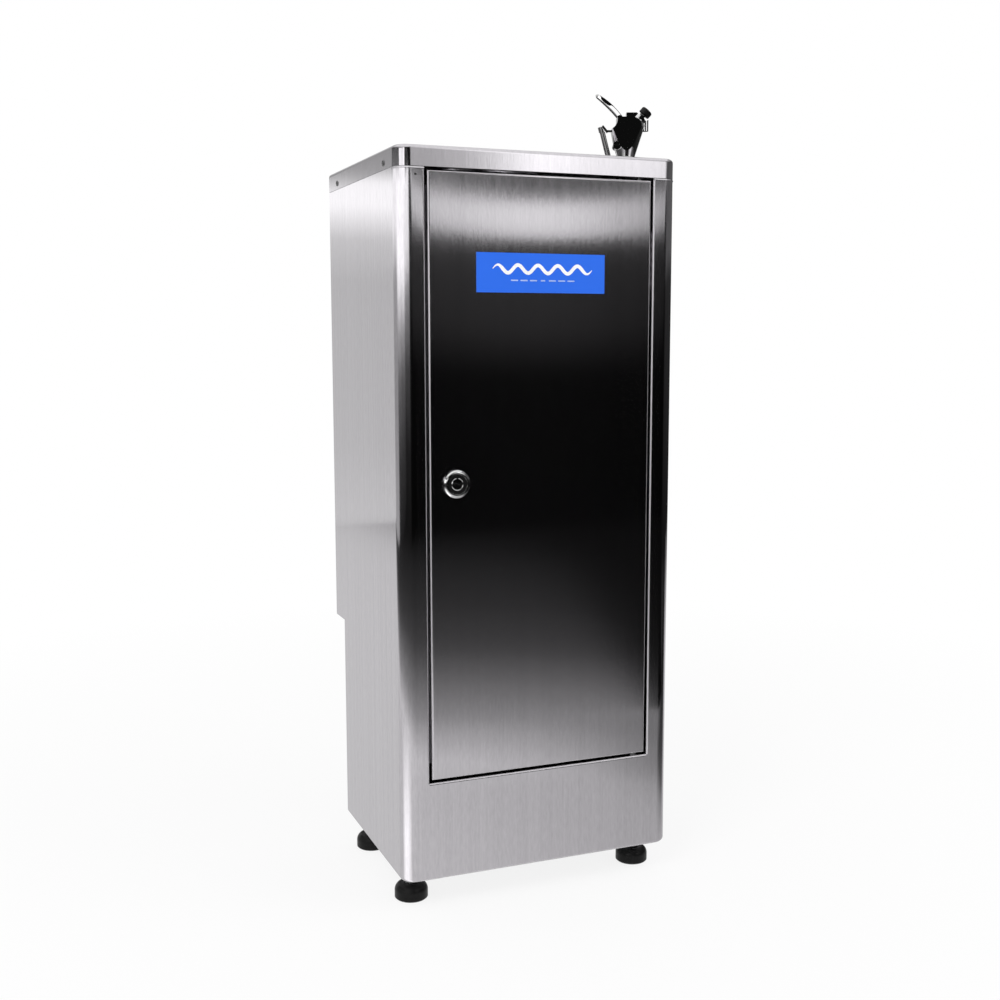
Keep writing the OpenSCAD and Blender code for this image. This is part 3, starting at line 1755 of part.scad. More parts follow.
cabinet_wrap();
base_tray();
foot_bosses();
top_frame();
rear_cover();
rear_cover_screws();
lower_rear_panel();
top_cover();
cap_screws();
door_stop();
door_bumpers();
hinge_bracket();
hinge_pins();
basin();
drain_strainer();
drain_fitting();
drain_gasket();
drain_nut();
trap_body();
trap_cup();
waste_pipe();
waste_outlet();
shutoff_valve();
inlet_nut();
supply_tube();
filter_rail();
filter_head();
head_screws();
outlet_tube();
tap_gasket();
tap_base();
tap_body();
tap_nozzle();
mouth_guard();
button_bonnet();
button_spring();
tap_nut();
door_panel();
door_stiffener();
name_plate();
lock_housing();
lock_nut();
hinge_bushes();
lock_plug();
lock_cam();
cam_screw();
push_button();
shutoff_lever();
flow_screw();
filter_cartridge(-cartridge_pitch);  // filter_cartridge_left
filter_cartridge(0);  // filter_cartridge_middle
filter_cartridge(cartridge_pitch);  // filter_cartridge_right
foot_pad(-foot_x, foot_front_y);  // foot_pad_front_left
foot_pad(foot_x, foot_front_y);  // foot_pad_front_right
foot_pad(-foot_x, foot_rear_y);  // foot_pad_rear_left
foot_pad(foot_x, foot_rear_y);  // foot_pad_rear_right
foot_stud(-foot_x, foot_front_y);  // foot_stud_front_left
foot_stud(foot_x, foot_front_y);  // foot_stud_front_right
foot_stud(-foot_x, foot_rear_y);  // foot_stud_rear_left
foot_stud(foot_x, foot_rear_y);  // foot_stud_rear_right
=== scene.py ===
# Drinking water dispenser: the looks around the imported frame
import bpy
import bmesh
import math
from mathutils import Matrix, Vector


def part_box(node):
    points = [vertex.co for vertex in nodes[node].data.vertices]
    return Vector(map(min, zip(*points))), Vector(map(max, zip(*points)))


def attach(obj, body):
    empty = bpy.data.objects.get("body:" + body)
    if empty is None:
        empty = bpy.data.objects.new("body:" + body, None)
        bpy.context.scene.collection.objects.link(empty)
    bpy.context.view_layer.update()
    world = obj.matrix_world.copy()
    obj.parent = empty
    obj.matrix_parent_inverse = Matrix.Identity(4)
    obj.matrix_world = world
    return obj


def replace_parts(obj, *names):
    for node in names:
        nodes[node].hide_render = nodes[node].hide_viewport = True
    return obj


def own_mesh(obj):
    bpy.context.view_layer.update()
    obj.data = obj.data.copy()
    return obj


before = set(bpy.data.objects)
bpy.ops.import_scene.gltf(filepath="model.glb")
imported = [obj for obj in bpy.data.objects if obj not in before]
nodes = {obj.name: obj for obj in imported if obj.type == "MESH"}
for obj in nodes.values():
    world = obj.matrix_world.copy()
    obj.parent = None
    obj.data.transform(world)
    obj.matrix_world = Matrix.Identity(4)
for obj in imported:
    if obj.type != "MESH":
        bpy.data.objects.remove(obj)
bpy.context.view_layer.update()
scene = bpy.context.scene
scene.view_settings.view_transform = "Standard"
print("frame loaded,", len(nodes), "nodes")


# one output socket; arithmetic on it adds Math nodes
class Wire:
    def __init__(self, tree, out=None):
        self.tree = tree
        self.out = out

    # any node: its type, its settings first, then the values or links of its sockets
    def add(self, kind, setup=None, links=None, pick=0):
        node = self.tree.nodes.new("ShaderNode" + kind)
        for name, value in (setup or {}).items():
            if name == "stops":
                node.mapping.extend = "HORIZONTAL"
                points = node.mapping.curves[0].points
                points[0].location, points[1].location = value[0], value[-1]
                for stop in value[1:-1]:
                    points.new(*stop)
                for point in points:
                    point.handle_type = "VECTOR"
                node.mapping.update()
            else:
                setattr(node, name, value)
        for key, value in (links or {}).items():
            if isinstance(value, Wire):
                self.tree.links.new(value.out, node.inputs[key])
            else:
                node.inputs[key].default_value = value
        return Wire(self.tree, node.outputs[pick] if node.outputs else None)

    def maths(self, operation, a, b=0.0):
        return self.add("Math", {"operation": operation}, {0: a, 1: b})

    def __add__(self, other):
        return self.maths("ADD", self, other)

    __radd__ = __add__

    def __sub__(self, other):
        return self.maths("SUBTRACT", self, other)

    def __rsub__(self, other):
        return self.maths("SUBTRACT", other, self)

    def __mul__(self, other):
        return self.maths("MULTIPLY", self, other)

    __rmul__ = __mul__

    def __truediv__(self, other):
        return self.maths("DIVIDE", self, other)

    def __rtruediv__(self, other):
        return self.maths("DIVIDE", other, self)

    # a value read off straight lines between stops
    def ramp(self, *stops):
        return self.add("FloatCurve", {"stops": stops}, {"Value": self})

    # a colour from the first to the second as this value goes from 0 to 1
    def mix(self, first, second):
        return self.add("Mix", {"data_type": "RGBA"}, {"Factor": self, 6: first, 7: second}, 2)


def place(w):
    return w.add("TexCoord", pick="Object")


def along(w, axis):
    return w.add("SeparateXYZ", None, {0: place(w)}, axis)


def facing(w, axis):
    return w.add("SeparateXYZ", None, {0: w.add("NewGeometry", pick="Normal")}, axis)


def stretch(w, spot, x, y, z):
    return w.add("VectorMath", {"operation": "MULTIPLY"}, {0: spot, 1: (x, y, z)})


def speckle(w, spot, size, detail=3.0):
    return w.add("TexNoise", None, {"Vector": spot, "Scale": size, "Detail": detail, "Roughness": 0.6})


def bumped(w, height, strength, deep=0.0003):
    return w.add("Bump", None, {"Strength": strength, "Distance": deep, "Height": height})


def finish(name, fixed, paint):
    mat = bpy.data.materials.new(name)
    mat.use_nodes = True
    tree = mat.node_tree
    shader = next(n for n in tree.nodes if n.type == "BSDF_PRINCIPLED")
    for key, value in fixed.items():
        shader.inputs[key].default_value = value
    for key, wire in paint(Wire(tree)).items():
        tree.links.new(wire.out, shader.inputs[key])
    return mat


def grey(v, warm=0.0):
    return (v * (1 + warm), v, v * (1 - warm), 1)


def steel(v):
    return (v * 1.018, v * 0.985, v * 1.03, 1)


# brushed stainless sheet, the grain along Z on walls and along X on level faces
brushed = {"dark": 0.585, "light": 0.708, "grain": ((0.3, 0.0), (0.7, 1.0)), "fine": 400, "fleck": 75, "wide": 190,
           "run": 5 / 3, "fineShare": 0.6, "levelFrom": 0.7, "rough": 0.072, "roughSpan": 0.05, "smudge": 5.0,
           "smudgeRough": 0.03, "bump": 0.065, "deep": 0.0004, "anisotropy": 0.95, "turn": 0.0}
# satin on the folded edges of a sheet, where its normal turns from the front to the side
fold = {"bend": ((0.02, 0.0), (0.2, 1.0), (0.8, 1.0), (0.95, 0.0)), "rough": 0.3, "satin": 0.6}


def brushedPaint(w, spec):
    spot = place(w)
    fine = speckle(w, stretch(w, spot, spec["fine"], spec["fine"], spec["fleck"]), 1.0)
    wide = speckle(w, stretch(w, spot, spec["wide"], spec["wide"], spec["run"]), 1.0, 2.0)
    flat = speckle(w, stretch(w, spot, spec["fleck"], spec["fine"], spec["fine"]), 1.0)
    level = w.maths("GREATER_THAN", w.maths("ABSOLUTE", facing(w, 2)), spec["levelFrom"])
    upright = fine * spec["fineShare"] + wide * (1 - spec["fineShare"])
    grain = upright * (1 - level) + flat * level
    smudge = speckle(w, spot, spec["smudge"], 4.0)
    rough = grain * spec["roughSpan"] + smudge * spec["smudgeRough"] + spec["rough"]
    normal = bumped(w, grain, spec["bump"], spec["deep"])
    if "lean" in spec:
        normal = w.add("VectorMath", {"operation": "ADD"}, {0: normal, 1: (0, 0, spec["lean"])})
        normal = w.add("VectorMath", {"operation": "NORMALIZE"}, {0: normal})
    paint = {"Base Color": grain.ramp(*spec["grain"]).mix(steel(spec["dark"]), steel(spec["light"])),
             "Roughness": rough, "Normal": normal}
    if "foldWithin" in spec:
        bend = (1 - w.maths("ABSOLUTE", facing(w, 1))).ramp(*fold["bend"])
        bend = bend * w.maths("LESS_THAN", w.maths("ABSOLUTE", along(w, 0)), spec["foldWithin"])
        paint["Roughness"] = rough + bend * fold["rough"]
        paint["Metallic"] = 1 - bend * fold["satin"]
    return paint


def brushedFinish(name, **change):
    spec = {**brushed, **change}
    return finish(name, {"Metallic": 1.0, "Anisotropic": spec["anisotropy"], "Anisotropic Rotation": spec["turn"]},
                  lambda w: brushedPaint(w, spec))


# chrome on the tap and the lock, with faint water marks
chrome = {"clean": 0.78, "mark": 0.74, "markSize": 130.0, "markFrom": ((0.56, 0.0), (0.74, 1.0)), "wipe": (30, 30, 9),
          "rough": 0.008, "markRough": 0.02, "wipeRough": 0.025, "bump": 0.02}


def chromePaint(w, spec=chrome):
    spot = place(w)
    marks = speckle(w, spot, spec["markSize"]).ramp(*spec["markFrom"])
    wipe = speckle(w, stretch(w, spot, *spec["wipe"]), 1.0)
    return {"Base Color": marks.mix(grey(spec["clean"]), grey(spec["mark"], 0.01)),
            "Roughness": marks * spec["markRough"] + wipe * spec["wipeRough"] + spec["rough"],
            "Normal": bumped(w, wipe, spec["bump"])}


# zinc plate on the brackets and the feet's studs, with pale spangles
zinc = {"low": 0.42, "high": 0.60, "spangle": 110.0, "spangleShare": 0.6, "cloud": 24.0, "rough": 0.28,
        "roughSpan": 0.22, "bump": 0.08}


def zincPaint(w):
    spot = place(w)
    cell = w.add("TexVoronoi", None, {"Vector": spot, "Scale": zinc["spangle"]}, "Color")
    shade = w.add("SeparateColor", None, {0: cell}, 0)
    cloud = speckle(w, spot, zinc["cloud"], 4.0)
    mask = shade * zinc["spangleShare"] + cloud * (1 - zinc["spangleShare"])
    return {"Base Color": mask.mix(grey(zinc["low"], -0.02), grey(zinc["high"], -0.01)),
            "Roughness": zinc["rough"] + mask * zinc["roughSpan"],
            "Normal": bumped(w, cloud, zinc["bump"])}


# plain steel of the screws, with tool marks
screwSteel = {"dark": 0.12, "bright": 0.30, "stain": 90.0, "stainFrom": ((0.35, 0.0), (0.7, 1.0)), "tool": 700.0,
              "rough": 0.28, "roughSpan": 0.2, "bump": 0.1, "deep": 0.0002}


def screwPaint(w):
    spot = place(w)
    tool = speckle(w, spot, screwSteel["tool"])
    stain = speckle(w, spot, screwSteel["stain"], 4.0).ramp(*screwSteel["stainFrom"])
    return {"Base Color": stain.mix(grey(screwSteel["dark"]), grey(screwSteel["bright"])),
            "Roughness": screwSteel["rough"] + tool * screwSteel["roughSpan"],
            "Normal": bumped(w, tool, screwSteel["bump"], screwSteel["deep"])}


# moulded plastics and rubber share one paint: spark-eroded grain, rubbed spots and dust
moulded = {"rub": 38.0, "rubFrom": ((0.45, 0.0), (0.7, 1.0)), "rubShare": 0.7, "grainRough": 0.12, "rubRough": 0.08,
           "dust": 60.0, "dustTone": grey(0.45, 0.03)}


def mouldedPaint(dark, light, rough, grain=900.0, bump=0.12, dust=0.0):
    def paint(w):
        spot = place(w)
        fine = speckle(w, spot, grain, 2.0)
        rub = speckle(w, spot, moulded["rub"], 4.0).ramp(*moulded["rubFrom"])
        tone = (rub * moulded["rubShare"] + fine * (1 - moulded["rubShare"])).mix(dark, light)
        if dust:
            film = w.maths("MAXIMUM", facing(w, 2), 0.0) * speckle(w, spot, moulded["dust"], 5.0) * dust
            tone = film.mix(tone, moulded["dustTone"])
        return {"Base Color": tone, "Roughness": rough + fine * moulded["grainRough"] - rub * moulded["rubRough"],
                "Normal": bumped(w, fine, bump)}
    return paint


# turned brass with lathe rings
brass = {"dark": (0.62, 0.42, 0.15, 1), "bright": (0.78, 0.60, 0.30, 1), "tarnish": 45.0,
         "tarnishFrom": ((0.35, 0.0), (0.75, 1.0)), "rings": 260.0, "wobble": 1.5, "rough": 0.22, "roughSpan": 0.2,
         "bump": 0.05, "deep": 0.0002}


def brassPaint(w):
    spot = place(w)
    rings = w.add("TexWave", {"wave_type": "BANDS", "bands_direction": "Y"},
                  {"Vector": spot, "Scale": brass["rings"], "Distortion": brass["wobble"], "Detail": 2.0})
    tarnish = speckle(w, spot, brass["tarnish"], 5.0)
    return {"Base Color": tarnish.ramp(*brass["tarnishFrom"]).mix(brass["dark"], brass["bright"]),
            "Roughness": brass["rough"] + tarnish * brass["roughSpan"],
            "Normal": bumped(w, rings, brass["bump"], brass["deep"])}


# filter cartridges: white shell with a printed band between two lines
cartridge = {"bandLow": 0.36, "bandHigh": 0.50, "lineT": 0.008, "band": (0.02, 0.16, 0.45, 1),
             "line": (0.30, 0.62, 0.85, 1), "shellLow": grey(0.74, 0.01), "shellHigh": grey(0.82, 0.005),
             "cloud": 20.0, "grain": 500.0, "rough": 0.30, "grainRough": 0.12, "bandGloss": 0.08, "bump": 0.05}


def cartridgePaint(w):
    spot, height = place(w), along(w, 2)

    def between(low, high):
        return w.maths("GREATER_THAN", height, low) * w.maths("LESS_THAN", height, high)

    low, high, thick = cartridge["bandLow"], cartridge["bandHigh"], cartridge["lineT"]
    band = between(low, high)
    lines = band * (1 - between(low + thick, high - thick))
    grain = speckle(w, spot, cartridge["grain"], 2.0)
    shell = speckle(w, spot, cartridge["cloud"], 4.0).mix(cartridge["shellLow"], cartridge["shellHigh"])
    return {"Base Color": lines.mix(band.mix(shell, cartridge["band"]), cartridge["line"]),
            "Roughness": cartridge["rough"] + grain * cartridge["grainRough"] - band * cartridge["bandGloss"],
            "Normal": bumped(w, grain, cartridge["bump"])}


# blue plate, faintly uneven like screen print under a clear film
plateBlue = {"deep": (0.010, 0.120, 0.700, 1), "pale": (0.014, 0.135, 0.760, 1), "ink": 1400.0, "cloud": 14.0,
             "inkShare": 0.5, "rough": 0.34, "roughSpan": 0.10, "bump": 0.04, "film": 0.0002}


def platePaint(w):
    spot = place(w)
    ink = speckle(w, spot, plateBlue["ink"], 2.0)
    cloud = speckle(w, spot, plateBlue["cloud"])
    uneven = ink * plateBlue["inkShare"] + cloud * (1 - plateBlue["inkShare"])
    return {"Base Color": uneven.mix(plateBlue["deep"], plateBlue["pale"]),
            "Roughness": plateBlue["rough"] + ink * plateBlue["roughSpan"],
            "Normal": bumped(w, ink, plateBlue["bump"], plateBlue["film"])}


mats = {
    "wall": brushedFinish("brushedSteel", foldWithin=0.1595),
    "door": brushedFinish("doorSteel", foldWithin=1.0),
    "rear": brushedFinish("rearSteel"),
    "cover": brushedFinish("coverSteel", roughSpan=0.06, light=0.68, dark=0.58, turn=0.25, anisotropy=0.75,
                           lean=0.035),
    "bowl": brushedFinish("bowlSteel", rough=0.12, light=0.70, dark=0.58, anisotropy=0.6),
    "plated": finish("zincPlate", {"Metallic": 1.0}, zincPaint),
    "chrome": finish("chromePlate", {"Metallic": 1.0}, chromePaint),
    "dull": finish("dullChrome", {"Metallic": 1.0},
                   lambda w: chromePaint(w, {**chrome, "clean": 0.20, "mark": 0.26})),
    "screw": finish("screwSteel", {"Metallic": 1.0}, screwPaint),
    "black": finish("blackPlastic", {"Specular IOR Level": 0.24},
                    mouldedPaint(grey(0.003), grey(0.008), 0.28, dust=0.012)),
    "plug": finish("plugBlack", {"Specular IOR Level": 0.5}, mouldedPaint(grey(0.004), grey(0.010), 0.22)),
    "rubber": finish("blackRubber", {"Specular IOR Level": 0.3}, mouldedPaint(grey(0.012), grey(0.022), 0.7)),
    "white": finish("whitePlastic", {"Specular IOR Level": 0.5},
                    mouldedPaint(grey(0.72, 0.01), grey(0.80, 0.006), 0.30, 500.0, 0.06)),
    "greyPipe": finish("greyPipe", {"Specular IOR Level": 0.4}, mouldedPaint(grey(0.10), grey(0.15), 0.42)),
    "tube": finish("waterTube", {"Specular IOR Level": 0.5, "Coat Weight": 0.3},
                   mouldedPaint((0.60, 0.64, 0.68, 1), (0.70, 0.74, 0.77, 1), 0.22, 260.0, 0.03)),
    "red": finish("redGrip", {"Specular IOR Level": 0.5},
                  mouldedPaint((0.36, 0.012, 0.010, 1), (0.46, 0.02, 0.014, 1), 0.30)),
    "brass": finish("turnedBrass", {"Metallic": 1.0}, brassPaint),
    "cartridge": finish("cartridgeShell", {"Specular IOR Level": 0.5}, cartridgePaint),
    "plate": finish("bluePlate", {"Specular IOR Level": 0.35}, platePaint),
    "mark": finish("whitePrint", {"Specular IOR Level": 0.35},
                   mouldedPaint(grey(0.80), grey(0.88), 0.35, 1200.0, 0.03)),
    "paleMark": finish("palePrint", {"Specular IOR Level": 0.35},
                       mouldedPaint((0.30, 0.40, 0.70, 1), (0.40, 0.50, 0.78, 1), 0.35, 1200.0, 0.03)),
}
wears = {
    "wall": ["cabinet_wrap"],
    "door": ["door_panel"],
    "rear": ["rear_cover", "lower_rear_panel"],
    "cover": ["top_cover"],
    "bowl": ["basin"],
    "plated": ["base_tray", "foot_bosses", "top_frame", "door_stop", "hinge_bracket", "filter_rail", "door_stiffener",
               "lock_cam", "lock_nut", "foot_stud_front_left", "foot_stud_front_right", "foot_stud_rear_left",
               "foot_stud_rear_right"],
    "chrome": ["drain_strainer", "drain_fitting", "tap_base", "tap_body", "mouth_guard", "button_bonnet",
               "lock_housing", "flow_screw"],
    "dull": ["tap_nozzle"],
    "screw": ["rear_cover_screws", "cap_screws", "head_screws", "cam_screw", "hinge_pins", "button_spring"],
    "black": ["foot_pad_front_left", "foot_pad_front_right", "foot_pad_rear_left", "foot_pad_rear_right",
              "push_button"],
    "plug": ["lock_plug"],
    "rubber": ["door_bumpers", "drain_gasket", "tap_gasket"],
    "white": ["drain_nut", "trap_body", "trap_cup", "waste_pipe", "filter_head", "hinge_bushes"],
    "greyPipe": ["waste_outlet"],
    "tube": ["supply_tube", "outlet_tube"],
    "red": ["shutoff_lever"],
    "brass": ["shutoff_valve", "inlet_nut", "tap_nut"],
    "cartridge": ["filter_cartridge_left", "filter_cartridge_middle", "filter_cartridge_right"],
    "plate": ["name_plate"],
}
for key, names in wears.items():
    for name in names:
        nodes[name].data.materials.clear()
        nodes[name].data.materials.append(mats[key])
print("finishes:", len(mats), "on", sum(len(v) for v in wears.values()), "nodes")

# smooth shading over the CAD's facets, sharp where faces meet at an edge
shading = {"weld": 0.00001, "edge": 32, "fineEdge": 12, "fine": ("tap_body", "tap_base", "button_bonnet")}


def smoothGroup(name, angle):
    tree = bpy.data.node_groups.new(name, "GeometryNodeTree")
    for way in ("INPUT", "OUTPUT"):
        tree.interface.new_socket("Geometry", in_out=way, socket_type="NodeSocketGeometry")
    kinds = ("NodeGroupInput", "GeometryNodeMergeByDistance", "GeometryNodeSetMeshNormal", "NodeGroupOutput")
    row = [tree.nodes.new(kind) for kind in kinds]
    for a, b in zip(row, row[1:]):
        tree.links.new(a.outputs[0], b.inputs[0])
    row[1].inputs["Distance"].default_value = shading["weld"]
    row[2].mode = "SHARPNESS"
    row[2].inputs["Remove Custom"].default_value = True
    bent = tree.nodes.new("FunctionNodeCompare")
    bent.operation = "GREATER_THAN"
    bent.inputs[1].default_value = math.radians(angle)
    tree.links.new(tree.nodes.new("GeometryNodeInputMeshEdgeAngle").outputs[0], bent.inputs[0])
    tree.links.new(bent.outputs[0], row[2].inputs["Edge Sharpness"])
    return tree


smoothFacets = smoothGroup("smoothFacets", shading["edge"])
fineFacets = smoothGroup("fineFacets", shading["fineEdge"])
for name, obj in nodes.items():
    obj.modifiers.new("smooth", "NODES").node_group = fineFacets if name in shading["fine"] else smoothFacets
    obj.modifiers.new("normals", "WEIGHTED_NORMAL").keep_sharp = True
print("facets smoothed")


# a piece of the object from points and faces, riding on a CAD body
def addPiece(name, shape, paint, body, sharp=35):
    mesh = bpy.data.meshes.new(name)
    mesh.from_pydata(shape[0], [], shape[1])
    mesh.validate()
    turned = bmesh.new()  # faces turned outwards
    turned.from_mesh(mesh)
    bmesh.ops.recalc_face_normals(turned, faces=turned.faces)
    turned.to_mesh(mesh)
    turned.free()
    mesh.shade_smooth()
    mesh.set_sharp_from_angle(angle=math.radians(sharp))
    mesh.materials.append(mats[paint])
    obj = bpy.data.objects.new(name, mesh)
    scene.collection.objects.link(obj)
    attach(obj, body)
    return obj


# skin over loops of equally many points, closed at both ends
def skin(loops):
    n = len(loops[0])
    points = [p for ring in loops for p in ring]
    faces = [(i * n + k, i * n + (k + 1) % n, (i + 1) * n + (k + 1) % n, (i + 1) * n + k)
             for i in range(len(loops) - 1) for k in range(n)]
    faces += [tuple(reversed(range(n))), tuple(range(len(points) - n, len(points)))]
    return points, faces


def joined(shapes):
    points, faces = [], []
    for more, sides in shapes:
        faces += [tuple(i + len(points) for i in side) for side in sides]
        points += more
    return points, faces


def moved(shape, turn):
    return [tuple(turn @ Vector(p)) for p in shape[0]], shape[1]


def evenAngles(count):
    return [math.tau * k / count for k in range(count)]


# points round the Z axis; the radius is a number, or a function of the angle
def loop(angles, radius, height):
    sizes = [radius(a) if callable(radius) else radius for a in angles]
    return [(r * math.cos(a), r * math.sin(a), height) for a, r in zip(angles, sizes)]


# pan-head screws with a cross recess on the cover's sides and on the rear; the dome is in shares of the head
screws = {"headR": 0.0036, "headH": 0.0012, "shankR": 0.0015, "shankL": 0.006, "round": 40,
          "dome": ((1.0, 0.0), (1.0, 0.25), (0.94, 0.6), (0.82, 0.86), (0.66, 1.0)),
          "armW": 0.00045, "armL": 0.0019, "deep": 0.0007, "floor": 0.78, "firstTurn": 0.35, "nextTurn": 0.7,
          "cap_screws": [(sx * 0.180, y, 0.8935, sx, 0) for sx in (-1, 1) for y in (-0.100, 0.108)],
          "rear_cover_screws": [(sx * 0.170, 0.150, z, 0, 1) for sx in (-1, 1) for z in (0.338, 0.5895, 0.841)]}


def screwShape(turn):
    head, high = screws["headR"], screws["headH"]
    half, reach = screws["armW"], screws["armL"]
    corner = math.atan2(half, reach)
    corners = [q * math.pi / 2 + s * corner for q in range(4) for s in (-1, 1)]
    angles = [a + turn for a in sorted(evenAngles(screws["round"]) + corners)]

    def cross(a, size=1.0):
        a = abs((a - turn + math.pi / 4) % (math.pi / 2) - math.pi / 4)
        return size * (reach / math.cos(a) if a <= corner else half / math.sin(a))

    rings = [(screws["shankR"], -screws["shankL"]), (screws["shankR"], 0.0)]
    rings += [(r * head, h * high) for r, h in screws["dome"]]
    rings += [(cross, high), (lambda a: cross(a, screws["floor"]), high - screws["deep"])]
    return skin([loop(angles, r, h) for r, h in rings])


for node in ("cap_screws", "rear_cover_screws"):
    shapes = []
    for i, (x, y, z, ax, ay) in enumerate(screws[node]):
        turn = Vector((ax, ay, 0)).to_track_quat("Z", "Y").to_matrix().to_4x4()
        shape = screwShape(screws["firstTurn"] + screws["nextTurn"] * i)
        shapes.append(moved(shape, Matrix.Translation((x, y, z)) @ turn))
    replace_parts(addPiece(node + "_cross", joined(shapes), "screw", "cabinet"), node)

# threaded stud with a chamfered nut on each foot
studs = {"crest": 0.005, "root": 0.0043, "pitch": 0.0015, "steps": 20}
nut = {"flat": 0.0085, "low": 0.020, "high": 0.028, "bevel": 0.0009, "firstBevel": 0.3, "cut": 1.04, "face": 0.98,
       "round": 48}


# threaded rod; where there is an inner radius, it steps in to that at both ends
def threadShape(spec, low, high, ringsPerTurn=4):
    crest, root, pitch = spec["crest"], spec["root"], spec["pitch"]
    angles = evenAngles(spec["steps"])
    count = int((high - low) / pitch * ringsPerTurn)
    loops = []
    for i in range(count + 1):
        z = low + (high - low) * i / count
        fade = min(1.0, (z - low) / pitch, (high - z) / pitch)
        ring = []
        for a in angles:
            wave = abs(2 * ((z / pitch - a / math.tau) % 1.0) - 1)
            r = root + (crest - root) * wave * fade
            ring.append((r * math.cos(a), r * math.sin(a), z))
        loops.append(ring)
    if "inner" in spec:
        loops = [loop(angles, spec["inner"], low)] + loops + [loop(angles, spec["inner"], high)]
    return skin(loops)


def nutShape(bore):
    flat, low, high, bevel = nut["flat"], nut["low"], nut["high"], nut["bevel"]
    step = nut["firstBevel"] * bevel

    def hexagon(a):
        return flat / math.cos((a % (math.pi / 3)) - math.pi / 6)

    def trimmed(a):
        return min(hexagon(a), flat * nut["cut"])

    def face(a):
        return min(trimmed(a), flat * nut["face"])

    rings = [(bore, low), (face, low), (trimmed, low + step), (hexagon, low + bevel), (hexagon, high - bevel),
             (trimmed, high - step), (face, high), (bore, high)]
    return skin([loop(evenAngles(nut["round"]), r, h) for r, h in rings])


for foot in ("front_left", "front_right", "rear_left", "rear_right"):
    lowest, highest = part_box("foot_stud_" + foot)
    middle = Matrix.Translation(((lowest[0] + highest[0]) / 2, (lowest[1] + highest[1]) / 2, 0))
    shape = joined([threadShape(studs, lowest[2], highest[2]), nutShape(studs["root"])])
    piece = addPiece("stud_thread_" + foot, moved(shape, middle), "plated", "foot_" + foot)
    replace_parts(piece, "foot_stud_" + foot)

# printed motif on the blue plate: a wave over a row of dashes, raised by the ink's thickness
motif = {"left": -0.0645, "right": 0.0635, "middle": 0.7735, "swing": 0.0046, "crests": 5, "crestSteps": 24,
         "stroke": 0.0042, "tipWidth": 0.15, "tipGrowth": 9, "raise": 0.00015,
         "dashes": 7, "dashLeft": -0.043, "dashRight": 0.042, "dashZ": 0.7603, "dashT": 0.0016, "dashHalf": 0.38,
         "middleHalf": 0.24, "dashEnds": ((-1, 0.4), (-0.9, 1), (0.9, 1), (1, 0.4))}


# flat strip along points in the plate's plane, as wide at each as its width
def ribbon(middles, widths):
    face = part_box("name_plate")[0][1]
    front, back = face - motif["raise"], face + motif["raise"]
    loops = []
    for i, (x, z) in enumerate(middles):
        ax, az = middles[max(i - 1, 0)]
        bx, bz = middles[min(i + 1, len(middles) - 1)]
        size = math.hypot(bx - ax, bz - az)
        nx, nz = -(bz - az) / size * widths[i] / 2, (bx - ax) / size * widths[i] / 2
        loops.append([(x - nx, back, z - nz), (x + nx, back, z + nz),
                      (x + nx, front, z + nz), (x - nx, front, z - nz)])
    return skin(loops)


def waveShape():
    steps = motif["crestSteps"] * motif["crests"]
    middles, widths = [], []
    for i in range(steps + 1):
        t = i / steps
        middles.append((motif["left"] + (motif["right"] - motif["left"]) * t,
                        motif["middle"] + motif["swing"] * math.sin(math.tau * motif["crests"] * t)))
        widths.append(motif["stroke"] * min(1.0, motif["tipWidth"] + motif["tipGrowth"] * min(t, 1 - t)))
    return ribbon(middles, widths)


def dashShapes():
    pitch = (motif["dashRight"] - motif["dashLeft"]) / motif["dashes"]
    widths = [motif["dashT"] * share for at, share in motif["dashEnds"]]
    dashes = []
    for i in range(motif["dashes"]):
        x = motif["dashLeft"] + pitch * (i + 0.5)
        half = pitch * motif["middleHalf" if i == motif["dashes"] // 2 else "dashHalf"]
        dashes.append(ribbon([(x + at * half, motif["dashZ"]) for at, share in motif["dashEnds"]], widths))
    return joined(dashes)


addPiece("plate_wave", waveShape(), "mark", "door")
addPiece("plate_dashes", dashShapes(), "paleMark", "door")

# mouth guard: a leaf with round edges along an arc in the tap's upright plane
tap = {"spot": (0.128, -0.098, 0.910), "turn": -22.4}
guard = {"middle": (-0.0166, 0.0692), "rise": 48.5, "bend": 0.130, "from": 35.6, "to": 56.9, "thick": 0.0052,
         "wide": 0.013, "tip": 0.62, "tipFrom": 0.45, "capFrom": 0.94, "capLeast": 0.03, "draft": 4.7,
         "crown": 0.012, "edge": 0.6, "steps": 40, "round": 36}


def guardShape():
    rise, draft = math.radians(guard["rise"]), math.tan(math.radians(guard["draft"]))
    ca, ch = [m - guard["bend"] * f for m, f in zip(guard["middle"], (math.cos(rise), math.sin(rise)))]
    loops = []
    for i in range(guard["steps"] + 1):
        t = i / guard["steps"]
        a = math.radians(guard["from"] + (guard["to"] - guard["from"]) * t)
        slim = max(0.0, t - guard["tipFrom"]) / (1 - guard["tipFrom"])
        end = max(0.0, t - guard["capFrom"]) / (1 - guard["capFrom"])
        size = (1 - (1 - guard["tip"]) * slim ** 2) * math.sqrt(max(guard["capLeast"], 1 - end ** 2))
        ring = []
        for s in evenAngles(guard["round"]):
            lift = guard["thick"] / 2 * size * math.copysign(abs(math.sin(s)) ** guard["edge"], math.sin(s))
            half = guard["wide"] / 2 * size + lift * draft
            side = half * math.copysign(abs(math.cos(s)) ** guard["crown"], math.cos(s))
            out = guard["bend"] + lift
            ring.append((ca + out * math.cos(a), side, ch + out * math.sin(a)))
        loops.append(ring)
    return skin(loops)


tapFrame = Matrix.Translation(tap["spot"]) @ Matrix.Rotation(math.radians(tap["turn"]), 4, "Z")
leaf = addPiece("guard_leaf", moved(guardShape(), tapFrame), "chrome", "cabinet", 60)
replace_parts(leaf, "mouth_guard")

